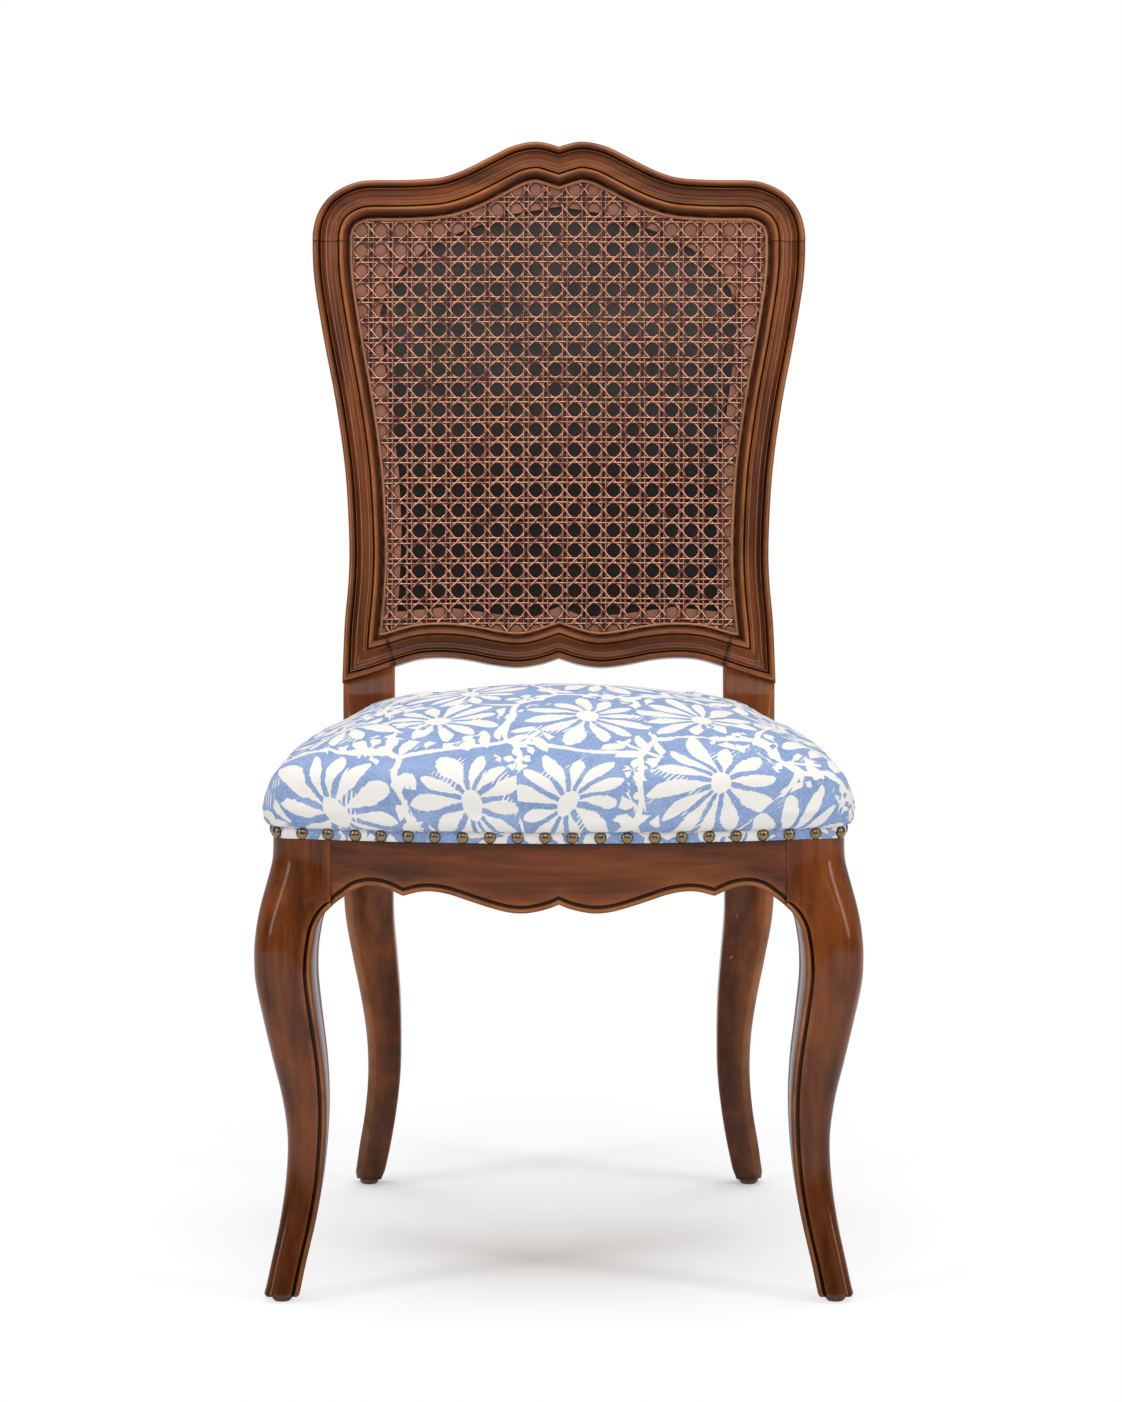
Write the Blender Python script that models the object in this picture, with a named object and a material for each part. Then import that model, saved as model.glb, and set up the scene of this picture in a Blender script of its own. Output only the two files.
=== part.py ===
"""Cane back dining chair with cabriole front legs, a moulded serpentine back and a nailed upholstered seat.

Units are metres and +Z is up. The chair faces -Y and is symmetrical about the plane x = 0.
Seat and leg depths are written from the front face of the front apron and moved to the
origin, on the floor under the middle of the chair, by world_y().
"""

import math

import bmesh
import bpy
from mathutils import Matrix, Vector
from mathutils.geometry import delaunay_2d_cdt

# Fit between pieces that touch
SEAT_GAP = 0.0003
JOINT_GAP = 0.0004

# Seat frame, in plan
SEAT_FRONT_HALF = 0.2593
SEAT_REAR_HALF = 0.2092
FRONT_BOW = 0.036
SIDE_BOW = 0.008
SEAT_DEPTH = 0.436
RAIL_THICKNESS = 0.024
COVER_RECESS = 0.003
REAR_APRON_SETBACK = 0.0085
TENON_LENGTH = 0.022
TENON_THICKNESS = 0.010
TENON_HEIGHT = 0.036

# Seat frame, in height
RAIL_TOP = 0.4365
BAND_DROP = 0.011
REAR_APRON_HEIGHT = 0.0655
ARCH_DROP = 0.0675
ARCH_REACH = 0.0652
FOOT_Z = 0.006

# Front legs
LEG_BLOCK = 0.0541
LEG_EAR = 0.0152
LEG_TOP_RADIUS = 0.020
LEG_KNEE_RADIUS = 0.015
LEG_FOOT_RADIUS = 0.008
BEAD_WIDTH = 0.005
BEAD_DEPTH = 0.0022
LEG_SPLAY = 0.007
LEG_STEP_COUNT = 1

# Rear posts
POST_WIDTH = 0.0507
POST_CHAMFER = 0.008
POST_EASING = 0.003
POST_SETBACK = 0.006

# Back frame
RAKE = math.radians(11.0)
HINGE_RISE = 0.0135
BACK_FOOT_RISE = 0.0785
BACK_BOW = 0.012
CREST_TOP = 1.0301
CREST_HALF = 0.2385
CREST_WIDTH = 0.034
STILE_WIDTH = 0.0322
LOWER_WIDTH = 0.030
BACK_THICKNESS = 0.026
BACK_EASING = 0.0022
REBATE_FRONT = 0.0115
REBATE_SHARE = 0.72
LOWER_TENON_HEIGHT = 0.010
CREST_SPAN_COUNT = 10
CREST_STEP_COUNT = 2
CORNER_SPAN_COUNT = 2
LOWER_STEP_COUNT = 1

# Cane and what backs it: each layer lies on the one before, from the rebate's face backwards
CANE_THICKNESS = 0.0018
CANE_PITCH = 0.030
CANE_HOLE = 0.0102
CANE_SIDES = 8
CANE_MARGIN = 0.0160
LEDGE_THICKNESS = 0.006
LINING_THICKNESS = 0.003
PANEL_SHARE = 0.80
SPLINE_HEIGHT = 0.0016
SPLINE_SHARES = (1.05, 1.15)
SHEET_STRIP = 0.026

# Upholstery
BOARD_THICKNESS = 0.009
PAD_OVERHANG = 0.011
PAD_CENTRE_SHARE = 0.539
COVER_THICKNESS = 0.0012
BAND_THICKNESS = 0.0012
BAND_HEIGHT = 0.0104
NAIL_RADIUS = 0.0053
NAIL_HEIGHT = 0.0030
NAIL_SPACING = 0.0246
NAIL_SIDES = 6
POST_CLEARANCE = 0.0015

# Corner blocks, in plan: how far their wings run along the rails
BLOCK_HEIGHT = 0.032
BLOCK_WING = 0.050
BLOCK_DROP = 0.004

# Hardware
GLIDE_RADIUS = 0.0092
GLIDE_PIN_RADIUS = 0.0022
GLIDE_PIN_LENGTH = 0.014
DOWEL_RADIUS = 0.004
DOWEL_LENGTH = 0.044
DOWEL_SHARE = 0.42
DOWEL_DEPTH = 0.0165
SCREW_RADIUS = 0.0025
SCREW_HEAD_RADIUS = 0.0055
SCREW_HEAD_HEIGHT = 0.0035
FRONT_SCREW_LENGTH = 0.050
REAR_SCREW_LENGTH = 0.026

# Places that follow from the sizes
BAND_BOTTOM = RAIL_TOP - BAND_DROP
LEG_RISE = RAIL_TOP - ARCH_DROP - FOOT_Z
LEG_SEAM = SEAT_FRONT_HALF - LEG_BLOCK
SIDE_SEAM = FRONT_BOW + LEG_BLOCK
ARCH_END = SIDE_SEAM + ARCH_REACH
POST_INNER_HALF = SEAT_REAR_HALF - POST_WIDTH
HINGE_Z = RAIL_TOP + HINGE_RISE
BACK_FOOT_Z = RAIL_TOP + BACK_FOOT_RISE
BOW_HALF = SEAT_REAR_HALF - POST_WIDTH * 0.38
REAR_APRON_BOTTOM = RAIL_TOP - REAR_APRON_HEIGHT
REAR_APRON_FRONT = SEAT_DEPTH + REAR_APRON_SETBACK
REAR_FACE = REAR_APRON_FRONT + RAIL_THICKNESS
PAD_CENTRE_Y = SEAT_DEPTH * PAD_CENTRE_SHARE

# Front leg by height: share of the leg's rise, how far its outer edge lies outside the seat's
# side face, and its width inward from that face as a share of the block
FRONT_LEG = [
    (FOOT_Z + LEG_RISE * up, SEAT_FRONT_HALF + bulge, SEAT_FRONT_HALF - LEG_BLOCK * width)
    for up, bulge, width in (
        (0.0000, 0.0085, 0.4344),
        (0.0771, 0.0024, 0.5453),
        (0.1763, -0.0053, 0.7043),
        (0.2810, -0.0108, 0.8299),
        (0.3857, -0.0125, 0.9039),
        (0.4876, -0.0082, 0.9316),
        (0.5895, -0.0001, 0.9020),
        (0.6915, 0.0078, 0.8299),
        (0.7906, 0.0147, 0.7652),
        (0.8623, 0.0163, 0.7560),
        (0.9091, 0.0155, 0.7856),
        (0.9477, 0.0137, 0.8318),
        (0.9752, 0.0118, 0.9224),
        (1.0000, 0.0097, 1.0850),
    )
]
# Above the arch the block runs straight up to the seat: share of its height, and bulge
FRONT_BLOCK = [
    (FRONT_LEG[-1][0] + (BAND_BOTTOM - FRONT_LEG[-1][0]) * up, SEAT_FRONT_HALF + bulge, LEG_SEAM - LEG_EAR)
    for up, bulge in ((0.2301, 0.0061), (0.4425, 0.0028), (0.6549, 0.0005), (1.0000, 0.0000))
]

# Rear post by height: share of the rise to the rake, outer edge inside the seat's side face,
# inner edge outside the post's inner face at the seat, front and back face behind the seat's depth
REAR_LEG = [
    (
        FOOT_Z + (HINGE_Z - FOOT_Z) * up,
        SEAT_REAR_HALF - outer,
        POST_INNER_HALF + inner,
        SEAT_DEPTH + front,
        SEAT_DEPTH + back,
    )
    for up, outer, inner, front, back in (
        (0.0000, 0.0072, 0.0157, 0.1000, 0.1290),
        (0.0766, 0.0119, 0.0083, 0.0875, 0.1185),
        (0.1667, 0.0184, 0.0015, 0.0720, 0.1045),
        (0.2568, 0.0219, -0.0029, 0.0575, 0.0915),
        (0.3468, 0.0211, -0.0040, 0.0445, 0.0800),
        (0.4369, 0.0161, -0.0035, 0.0330, 0.0700),
        (0.5270, 0.0090, -0.0010, 0.0225, 0.0610),
        (0.6284, 0.0019, 0.0022, 0.0130, 0.0530),
        (0.7297, 0.0004, 0.0018, 0.0055, 0.0470),
        (0.8311, 0.0006, 0.0007, 0.0010, 0.0425),
        (0.9212, 0.0008, 0.0000, -0.0010, 0.0390),
        (1.0000, 0.0010, 0.0000, 0.0000, 0.0365),
    )
]


def back_height(up):
    """Height at a share of the back's own height above its bottom corners."""
    return BACK_FOOT_Z + (CREST_TOP - BACK_FOOT_Z) * up


def back_place(part, z):
    """Point in the back's plane at a height, and at a share of the back's half width there."""
    up = (z - BACK_FOOT_Z) / (CREST_TOP - BACK_FOOT_Z)
    return part * (SEAT_REAR_HALF + (CREST_HALF - SEAT_REAR_HALF) * up), z


# Outer edge of the back, from the notch at the top down to the bottom corner
BACK_OUTLINE = [
    back_place(part, back_height(up))
    for part, up in (
        (0.0000, 0.9907),
        (0.0407, 0.9963),
        (0.1040, 1.0000),
        (0.2057, 0.9891),
        (0.3584, 0.9542),
        (0.4904, 0.9332),
        (0.6768, 0.9291),
        (0.8165, 0.9272),
        (0.9291, 0.9047),
        (0.9976, 0.8659),
        (1.0232, 0.8158),
        (1.0241, 0.7414),
        (0.9971, 0.6300),
        (0.9621, 0.5187),
        (0.9359, 0.3902),
        (0.9342, 0.2621),
        (0.9473, 0.1844),
        (0.9740, 0.1068),
        (0.9990, 0.0000),
    )
]

# Lower edge of the back's bottom rail, from that corner to its centre notch: share of the way out
# to the corner, and height above it
LOWER_OUTLINE = [
    (BACK_OUTLINE[-1][0] * part, BACK_OUTLINE[-1][1] + rise)
    for part, rise in (
        (1.0000, 0.0000),
        (0.8756, 0.0068),
        (0.7536, 0.0150),
        (0.6459, 0.0212),
        (0.5359, 0.0224),
        (0.4211, 0.0200),
        (0.3062, 0.0152),
        (0.1914, 0.0127),
        (0.0861, 0.0157),
        (0.0000, 0.0214),
    )
]
CORNER_INNER = (BACK_OUTLINE[-1][0] - STILE_WIDTH - 0.0008, BACK_FOOT_Z + LOWER_WIDTH + 0.012)

# Opening of the ledge that shows behind the cane, right half from the top. Its arch is placed by
# shares of the back's height, its foot stands on the bottom rail, and its sides run between the two
LEDGE_ARCH = [
    (0.0000, 0.8814),
    (0.2132, 0.8659),
    (0.4282, 0.8309),
    (0.5542, 0.8037),
    (0.6518, 0.7668),
    (0.7222, 0.7280),
    (0.7567, 0.6853),
]
LEDGE_SIDE = [(0.7460, 0.8322), (0.7229, 0.6399), (0.7027, 0.4650), (0.7013, 0.2727), (0.7176, 0.0979)]
LEDGE_FOOT = [(0.7347, 0.0670), (0.5159, 0.0710), (0.2819, 0.0640), (0.1176, 0.0610), (0.0000, 0.0710)]
LEDGE_HIGH = back_height(LEDGE_ARCH[-1][1])
LEDGE_LOW = BACK_FOOT_Z + LEDGE_FOOT[0][1]
LEDGE_OPENING = [
    *(back_place(part, back_height(up)) for part, up in LEDGE_ARCH),
    *(back_place(part, LEDGE_LOW + (LEDGE_HIGH - LEDGE_LOW) * up) for part, up in LEDGE_SIDE),
    *(back_place(part, BACK_FOOT_Z + rise) for part, rise in LEDGE_FOOT),
]
LEDGE_TOP_JOINT = LEDGE_HIGH + 0.012
LEDGE_BOTTOM_JOINT = LEDGE_LOW + 0.010

# Seat pad by level: height, overhang beyond the rails, share of the plan
PAD_LEVELS = [
    (RAIL_TOP + rise, PAD_OVERHANG - tuck, share)
    for rise, tuck, share in (
        (0.0110, 0.0045, 1.000),
        (0.0225, 0.0000, 1.000),
        (0.0375, 0.0015, 1.000),
        (0.0485, 0.0000, 0.962),
        (0.0585, 0.0000, 0.902),
        (0.0710, 0.0000, 0.785),
        (0.0900, 0.0000, 0.515),
        (0.1020, 0.0000, 0.140),
    )
]

# Moulding across the back frame: share of the width from the outer edge, depth behind its crown
MOULDING_FRONT = [
    (0.000, 0.0050),
    (0.050, 0.0006),
    (0.165, 0.0006),
    (0.215, 0.0044),
    (0.250, 0.0034),
    (0.400, 0.0066),
    (0.560, 0.0072),
    (0.700, 0.0042),
    (0.725, 0.0060),
    (0.800, 0.0028),
    (0.880, 0.0034),
    (1.000, 0.0090),
]

# Lower edge of the front apron between its arches, from the centre: share of the way, and how far
# it lies below the top of the rails
FRONT_APRON_EDGE = [
    ((LEG_SEAM - ARCH_REACH) * part, RAIL_TOP - drop)
    for part, drop in (
        (0.0000, 0.0662),
        (0.0571, 0.0695),
        (0.1286, 0.0723),
        (0.2214, 0.0743),
        (0.3286, 0.0733),
        (0.4571, 0.0687),
        (0.6014, 0.0622),
        (0.6979, 0.0579),
        (0.7943, 0.0555),
        (0.8907, 0.0558),
        (1.0000, 0.0599),
    )
]
# Arch beside a front leg: distance from the leg as a share of its reach, and drop
APRON_ARCH = (
    (1.0000, 0.0599),
    (0.7515, 0.0531),
    (0.5291, 0.0513),
    (0.3344, 0.0550),
    (0.1503, 0.0637),
    (0.0000, 0.0715),
)
FRONT_APRON_ARCH = [(LEG_SEAM - ARCH_REACH * away, RAIL_TOP - drop) for away, drop in APRON_ARCH]
SIDE_APRON_ARCH = [(SIDE_SEAM + ARCH_REACH * away, RAIL_TOP - drop) for away, drop in reversed(APRON_ARCH)]
# Lower edge of a side apron from its arch to the post
SIDE_APRON_EDGE = [
    (ARCH_END + (SEAT_DEPTH - ARCH_END) * part, RAIL_TOP - drop)
    for part, drop in (
        (0.0000, 0.0599),
        (0.0595, 0.0553),
        (0.1592, 0.0567),
        (0.3196, 0.0647),
        (0.4799, 0.0667),
        (0.6580, 0.0617),
        (0.8361, 0.0563),
        (1.0000, 0.0553),
    )
]


def smooth_curve(points, steps):
    """Points along a smooth curve through the given points, with this many steps between each two."""
    ends = [
        tuple(2 * a - b for a, b in zip(points[0], points[1])),
        *points,
        tuple(2 * a - b for a, b in zip(points[-1], points[-2])),
    ]
    curve = []
    for i in range(1, len(ends) - 2):
        before, start, end, after = ends[i - 1 : i + 3]
        for step in range(steps):
            t = step / steps
            curve.append(
                tuple(
                    b + t * (c - a + t * (2 * a - 5 * b + 4 * c - d + t * (3 * b - a - 3 * c + d))) / 2
                    for a, b, c, d in zip(before, start, end, after)
                )
            )
    curve.append(tuple(points[-1]))
    return curve


def front_y(x):
    """Depth of the bowed front face at a distance from the centre line."""
    return FRONT_BOW * (x / SEAT_FRONT_HALF) ** 2


def side_x(y):
    """Distance of the side face from the centre line at a depth."""
    u = (y - FRONT_BOW) / (SEAT_DEPTH - FRONT_BOW)
    bow = 4 * SIDE_BOW * u * (1 - u) if 0 < u < 1 else 0.0
    return SEAT_FRONT_HALF + (SEAT_REAR_HALF - SEAT_FRONT_HALF) * u + bow


def back_bow(x):
    """How far the back's hollow curve puts a point behind the posts."""
    return BACK_BOW * (1 - (x / BOW_HALF) ** 2)


def back_local(x, z, w):
    """Position on the raked, hollow back: z is read on its front plane, w is the depth behind that."""
    along = (z - HINGE_Z) / math.cos(RAKE)
    front = SEAT_DEPTH - POST_SETBACK
    y = front + along * math.sin(RAKE) + w * math.cos(RAKE) + back_bow(x)
    return x, y, HINGE_Z + along * math.cos(RAKE) - w * math.sin(RAKE)


REAR_MOST = back_local(BACK_OUTLINE[2][0], CREST_TOP, BACK_THICKNESS)[1]
CENTRE_Y = (REAR_MOST - PAD_OVERHANG) / 2


def world_y(y):
    """Depth from the front apron's face, moved to the chair's own origin."""
    return y - CENTRE_Y


def back_point(x, z, w):
    """World position of a point of the back."""
    px, py, pz = back_local(x, z, w)
    return Vector((px, world_y(py), pz))


# Building and joining solids


def collection(name):
    """A new collection in the scene."""
    made = bpy.data.collections.new(name)
    bpy.context.scene.collection.children.link(made)
    return made


def material(name, colour, roughness, metallic=0.0):
    """A plain Principled material."""
    made = bpy.data.materials.new(name)
    made.use_nodes = True
    shader = made.node_tree.nodes["Principled BSDF"]
    shader.inputs["Base Color"].default_value = (*colour, 1.0)
    shader.inputs["Roughness"].default_value = roughness
    shader.inputs["Metallic"].default_value = metallic
    made.diffuse_color = (*colour, 1.0)
    return made


def add_object(name, bm, finish, group):
    """Turns a bmesh into a named object, shaded smooth with sharp edges kept."""
    bmesh.ops.remove_doubles(bm, verts=bm.verts, dist=0.000002)
    bmesh.ops.recalc_face_normals(bm, faces=bm.faces)
    mesh = bpy.data.meshes.new(name)
    bm.to_mesh(mesh)
    bm.free()
    mesh.shade_smooth()
    mesh.set_sharp_from_angle(angle=math.radians(35))
    mesh.materials.append(finish)
    made = bpy.data.objects.new(name, mesh)
    group.objects.link(made)
    return made


def add_rings(bm, rings, closed=True):
    """Skins a row of closed rings of equal length, and caps both ends."""
    rows = [[bm.verts.new(p) for p in ring] for ring in rings]
    count = len(rows[0])
    for a, b in zip(rows, rows[1:]):
        for i in range(count):
            j = (i + 1) % count
            bm.faces.new((a[i], a[j], b[j], b[i]))
    if closed:
        caps = [bm.faces.new(rows[0]), bm.faces.new(rows[-1])]
        for cap in caps:
            cap.normal_update()
        bmesh.ops.triangulate(bm, faces=caps, ngon_method="EAR_CLIP")
    return rows


def loft(name, rings, finish, group):
    """A solid through a row of closed rings."""
    bm = bmesh.new()
    add_rings(bm, rings)
    return add_object(name, bm, finish, group)


def bake(obj):
    """Replaces an object's mesh by what its modifiers make of it."""
    graph = bpy.context.evaluated_depsgraph_get()
    obj.data = bpy.data.meshes.new_from_object(obj.evaluated_get(graph))
    obj.modifiers.clear()


def combine(obj, others, operation):
    """Boolean of an object with helper solids, which it uses up."""
    for other in others:
        step = obj.modifiers.new(other.name, "BOOLEAN")
        step.operation = operation
        step.object = other
        step.solver = "EXACT"
        bake(obj)
        bpy.data.objects.remove(other)
    return obj


def cut(obj, *cutters):
    """Takes the cutters out of an object."""
    return combine(obj, cutters, "DIFFERENCE")


def join(obj, *pieces):
    """Makes one solid of an object and the pieces that overlap it."""
    return combine(obj, pieces, "UNION")


def helper_box(name, low, high, turn=0.0, centre=(0, 0, 0)):
    """A box given by two corners, turned about the vertical and moved to a centre."""
    bm = bmesh.new()
    bmesh.ops.create_cube(bm, size=1.0)
    size = [b - a for a, b in zip(low, high)]
    middle = Vector([(a + b) / 2 for a, b in zip(low, high)])
    bmesh.ops.scale(bm, vec=size, verts=bm.verts)
    bmesh.ops.translate(bm, vec=middle, verts=bm.verts)
    bmesh.ops.transform(bm, matrix=Matrix.Translation(centre) @ Matrix.Rotation(turn, 4, "Z"), verts=bm.verts)
    made = add_object(name, bm, HELPER, HELPERS)
    made.hide_render = True
    made.display_type = "WIRE"
    return made


def helper_rod(name, start, end, radius, sides=12):
    """A cylinder between two points."""
    bm = bmesh.new()
    add_rod(bm, start, end, radius, sides)
    made = add_object(name, bm, HELPER, HELPERS)
    made.hide_render = True
    made.display_type = "WIRE"
    return made


def add_rod(bm, start, end, radius, sides=12, end_radius=None):
    """Adds a cylinder or cone between two points to a bmesh."""
    start, end = Vector(start), Vector(end)
    along = end - start
    place = Matrix.Translation((start + end) / 2) @ along.to_track_quat("Z", "Y").to_matrix().to_4x4()
    bmesh.ops.create_cone(
        bm,
        cap_ends=True,
        segments=sides,
        radius1=radius,
        radius2=radius if end_radius is None else end_radius,
        depth=along.length,
        matrix=place,
    )


def mirrored(obj, name):
    """The left-hand twin of a right-hand piece."""
    bm = bmesh.new()
    bm.from_mesh(obj.data)
    bmesh.ops.transform(bm, matrix=Matrix.Scale(-1, 4, (1, 0, 0)), verts=bm.verts)
    bmesh.ops.reverse_faces(bm, faces=bm.faces)
    mesh = bpy.data.meshes.new(name)
    bm.to_mesh(mesh)
    bm.free()
    mesh.shade_smooth()
    mesh.set_sharp_from_angle(angle=math.radians(35))
    mesh.materials.append(obj.data.materials[0])
    made = bpy.data.objects.new(name, mesh)
    obj.users_collection[0].objects.link(made)
    return made


# Back frame


def inward(before, after):
    """Unit normal that points into the back's opening, for a line walked clockwise round it."""
    dx, dz = after[0] - before[0], after[1] - before[1]
    length = math.hypot(dx, dz)
    return dz / length, -dx / length


def back_stations():
    """Pairs of outer and inner points round the right half, from the top notch to the bottom one.

    Returns the pairs and the indexes of the crest joint and of the lower joint.
    """
    upper = smooth_curve(BACK_OUTLINE, CREST_STEP_COUNT)
    joint = CREST_STEP_COUNT * CREST_SPAN_COUNT
    upper = upper[:joint] + BACK_OUTLINE[CREST_SPAN_COUNT:]
    lower = smooth_curve(LOWER_OUTLINE, LOWER_STEP_COUNT)
    corner = len(upper) - 1
    lower_joint = corner + LOWER_STEP_COUNT * CORNER_SPAN_COUNT
    outline = upper + lower[1:]
    last = len(outline) - 1
    pairs = []
    for i, point in enumerate(outline):
        width = CREST_WIDTH if i <= joint else STILE_WIDTH if i <= corner else LOWER_WIDTH
        if joint < i < joint + 3:
            width += (CREST_WIDTH - STILE_WIDTH) * (joint + 3 - i) / 3
        nx, nz = inward(outline[max(i - 1, 0)], outline[min(i + 1, last)])
        if i in (0, last):
            pairs.append((point, (0.0, point[1] + width / nz)))
        else:
            pairs.append((point, (point[0] + nx * width, point[1] + nz * width)))
    pairs[corner] = (outline[corner], CORNER_INNER)
    (ax, az), (bx, bz) = CORNER_INNER, pairs[lower_joint][1]
    for i in range(corner + 1, lower_joint):
        share = (i - corner) / (lower_joint - corner)
        pairs[i] = (outline[i], (ax + (bx - ax) * share, az + (bz - az) * share))
    return pairs, joint, lower_joint


def across(pair, share):
    """Point of a station at a share of the moulding's width from its outer edge."""
    (ox, oz), (ix, iz) = pair
    return ox + (ix - ox) * share, oz + (iz - oz) * share


def moulding_section():
    """The whole section of the back frame: moulded front, rebate behind the inner edge, plain back."""
    return [
        *MOULDING_FRONT,
        (1.0, REBATE_FRONT),
        (REBATE_SHARE, REBATE_FRONT),
        (REBATE_SHARE, BACK_THICKNESS),
        (0.08, BACK_THICKNESS),
        (0.0, BACK_THICKNESS - BACK_EASING),
    ]


def station_ring(pair, section, side=1):
    """World ring of a section at one station."""
    ring = []
    for share, depth in section:
        x, z = across(pair, share)
        ring.append(back_point(side * x, z, depth))
    return ring


def shifted(pair, toward, gap):
    """A station moved a little towards another one, which leaves a joint's gap."""
    moved = []
    for a, b in zip(pair, toward):
        dx, dz = b[0] - a[0], b[1] - a[1]
        length = math.hypot(dx, dz)
        moved.append((a[0] + dx / length * gap, a[1] + dz / length * gap))
    return tuple(moved)


def crest_rail(stations, joint):
    """Double-humped top rail, one piece from joint to joint."""
    section = moulding_section()
    half = list(stations[: joint + 1])
    half[-1] = shifted(half[-1], half[-2], JOINT_GAP / 2)
    rings = [station_ring(pair, section, -1) for pair in reversed(half)]
    rings += [station_ring(pair, section) for pair in half[1:]]
    return loft("crest_rail", rings, WOOD, CHAIR)


def lower_back_rail(stations, lower_joint):
    """Serpentine bottom rail of the back, with a tenon at each end."""
    section = moulding_section()
    half = list(stations[lower_joint:])
    half[0] = shifted(half[0], half[1], JOINT_GAP)
    rings = [station_ring(pair, section) for pair in half]
    rings += [station_ring(pair, section, -1) for pair in reversed(half[:-1])]
    rail = loft("lower_back_rail", rings, WOOD, CHAIR)
    for side in (1, -1):
        rail = join(rail, lower_tenon(side, 0.0, TENON_LENGTH * 0.8))
    return rail


def lower_tenon(side, grow, reach):
    """Tenon of the back's bottom rail, or with some growth the mortise for it."""
    x_joint = LOWER_OUTLINE[CORNER_SPAN_COUNT][0]
    z_mid = LOWER_OUTLINE[CORNER_SPAN_COUNT][1] + LOWER_WIDTH * 0.33
    half = LOWER_TENON_HEIGHT / 2 + grow
    low_w, high_w = 0.0125 - grow, 0.0125 + TENON_THICKNESS + grow
    rings = []
    for x in (x_joint - 0.012, x_joint + reach + grow):
        rings.append(
            [
                back_point(side * x, z_mid - half, low_w),
                back_point(side * x, z_mid + half, low_w),
                back_point(side * x, z_mid + half, high_w),
                back_point(side * x, z_mid - half, high_w),
            ]
        )
    made = loft("lower_tenon", rings, HELPER, HELPERS)
    made.hide_render = True
    made.display_type = "WIRE"
    return made


def post_section(level, outer, inner, front, back, chamfer):
    """Ring of the rear leg, with its outer front corner chamfered.

    level gives the height at a distance from the centre line; front and back give the depth
    of the two faces at a height.
    """
    e = POST_EASING
    plan = [
        (outer - chamfer, front, 0.0),
        (inner + e, front, 0.0),
        (inner, front, e),
        (inner, back, -e),
        (inner + e, back, 0.0),
        (outer - e, back, 0.0),
        (outer, back, -e),
        (outer, front, chamfer),
    ]
    return [Vector((x, world_y(face(level(x)) + off), level(x))) for x, face, off in plan]


def lower_edge_z(x):
    """Height of the back's bottom edge across the foot of a stile."""
    (x0, z0), (x1, z1) = LOWER_OUTLINE[0], LOWER_OUTLINE[CORNER_SPAN_COUNT]
    return z0 + (z1 - z0) * (x0 - x) / (x0 - x1)


def rear_leg_rings():
    """Rings of the rear leg from the floor to inside the bottom corner of the back."""
    rings = []
    for z, outer, inner, front, back in smooth_curve(REAR_LEG, 2):
        faces = (lambda z, y=front: y), (lambda z, y=back: y)
        rings.append(post_section(lambda x, z=z: z, outer, inner, *faces, POST_CHAMFER))

    def face(depth):
        return lambda z: back_local(BOW_HALF, z, depth)[1]

    outer = REAR_LEG[-1][1]
    for z, back, chamfer in ((HINGE_Z + 0.025, 0.031, 0.008), (BACK_FOOT_Z - 0.015, 0.0265, 0.005)):
        faces = face(POST_SETBACK), face(back)
        rings.append(post_section(lambda x, z=z: z, outer, POST_INNER_HALF, *faces, chamfer))
    for rise, depth, inner in ((-0.001, POST_SETBACK, 0.0), (0.003, 0.0095, 0.0022), (0.010, 0.0095, 0.0060)):
        faces = face(depth), face(BACK_THICKNESS - 0.001)
        level = lambda x, rise=rise: lower_edge_z(x) + rise
        rings.append(post_section(level, outer, POST_INNER_HALF + inner, *faces, POST_EASING))
    return rings


def rear_post(stations, joint, lower_joint):
    """Right rear leg and back stile, one piece of wood from the floor to the crest joint."""
    part = list(stations[joint : lower_joint + 1])
    part[0] = shifted(part[0], part[1], JOINT_GAP / 2)
    section = moulding_section()
    post = loft("rear_post_right", [station_ring(pair, section) for pair in part], WOOD, CHAIR)
    leg = loft("rear_leg", rear_leg_rings(), WOOD, HELPERS)
    post = join(post, leg)
    return cut(post, lower_tenon(1, SEAT_GAP, TENON_LENGTH * 0.8))


def dowel_line(side, grow=0.0):
    """Ends of the dowel that pins the crest to one stile, made longer by some growth."""
    x, z = across(STATIONS[CREST_JOINT], DOWEL_SHARE)
    reach = (DOWEL_LENGTH / 2 + grow) * math.cos(RAKE)
    return tuple(back_point(side * x, z + sign * reach, DOWEL_DEPTH) for sign in (-1, 1))


def crest_dowels():
    """The two dowels between the crest and the stiles."""
    for hand, side in (("right", 1), ("left", -1)):
        bm = bmesh.new()
        add_rod(bm, *dowel_line(side), DOWEL_RADIUS, 8)
        add_object(f"crest_dowel_{hand}", bm, BEECH, CHAIR)


def dowel_hole(side):
    """What a crest dowel takes out of the crest and the stile."""
    return helper_rod("dowel_hole", *dowel_line(side, 0.0006), DOWEL_RADIUS + SEAT_GAP, 8)


# Front leg


def front_leg_place(p, q, outer, level):
    """World point of the front leg from its distances inward from the side face and the front face.

    level is 1 where the leg follows the seat frame's bowed faces, and 0 where it is square.
    """
    bulge = outer - SEAT_FRONT_HALF
    x = SEAT_FRONT_HALF - p
    y_seat = front_y(min(x, SEAT_FRONT_HALF)) + q
    x_seat = side_x(max(y_seat, FRONT_BOW)) - p
    y_square = front_y(SEAT_FRONT_HALF - LEG_BLOCK * 0.4) + q
    place_x = x + (x_seat - x) * level + bulge
    place_y = y_square + (y_seat - y_square) * level - bulge
    return place_x, place_y


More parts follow.
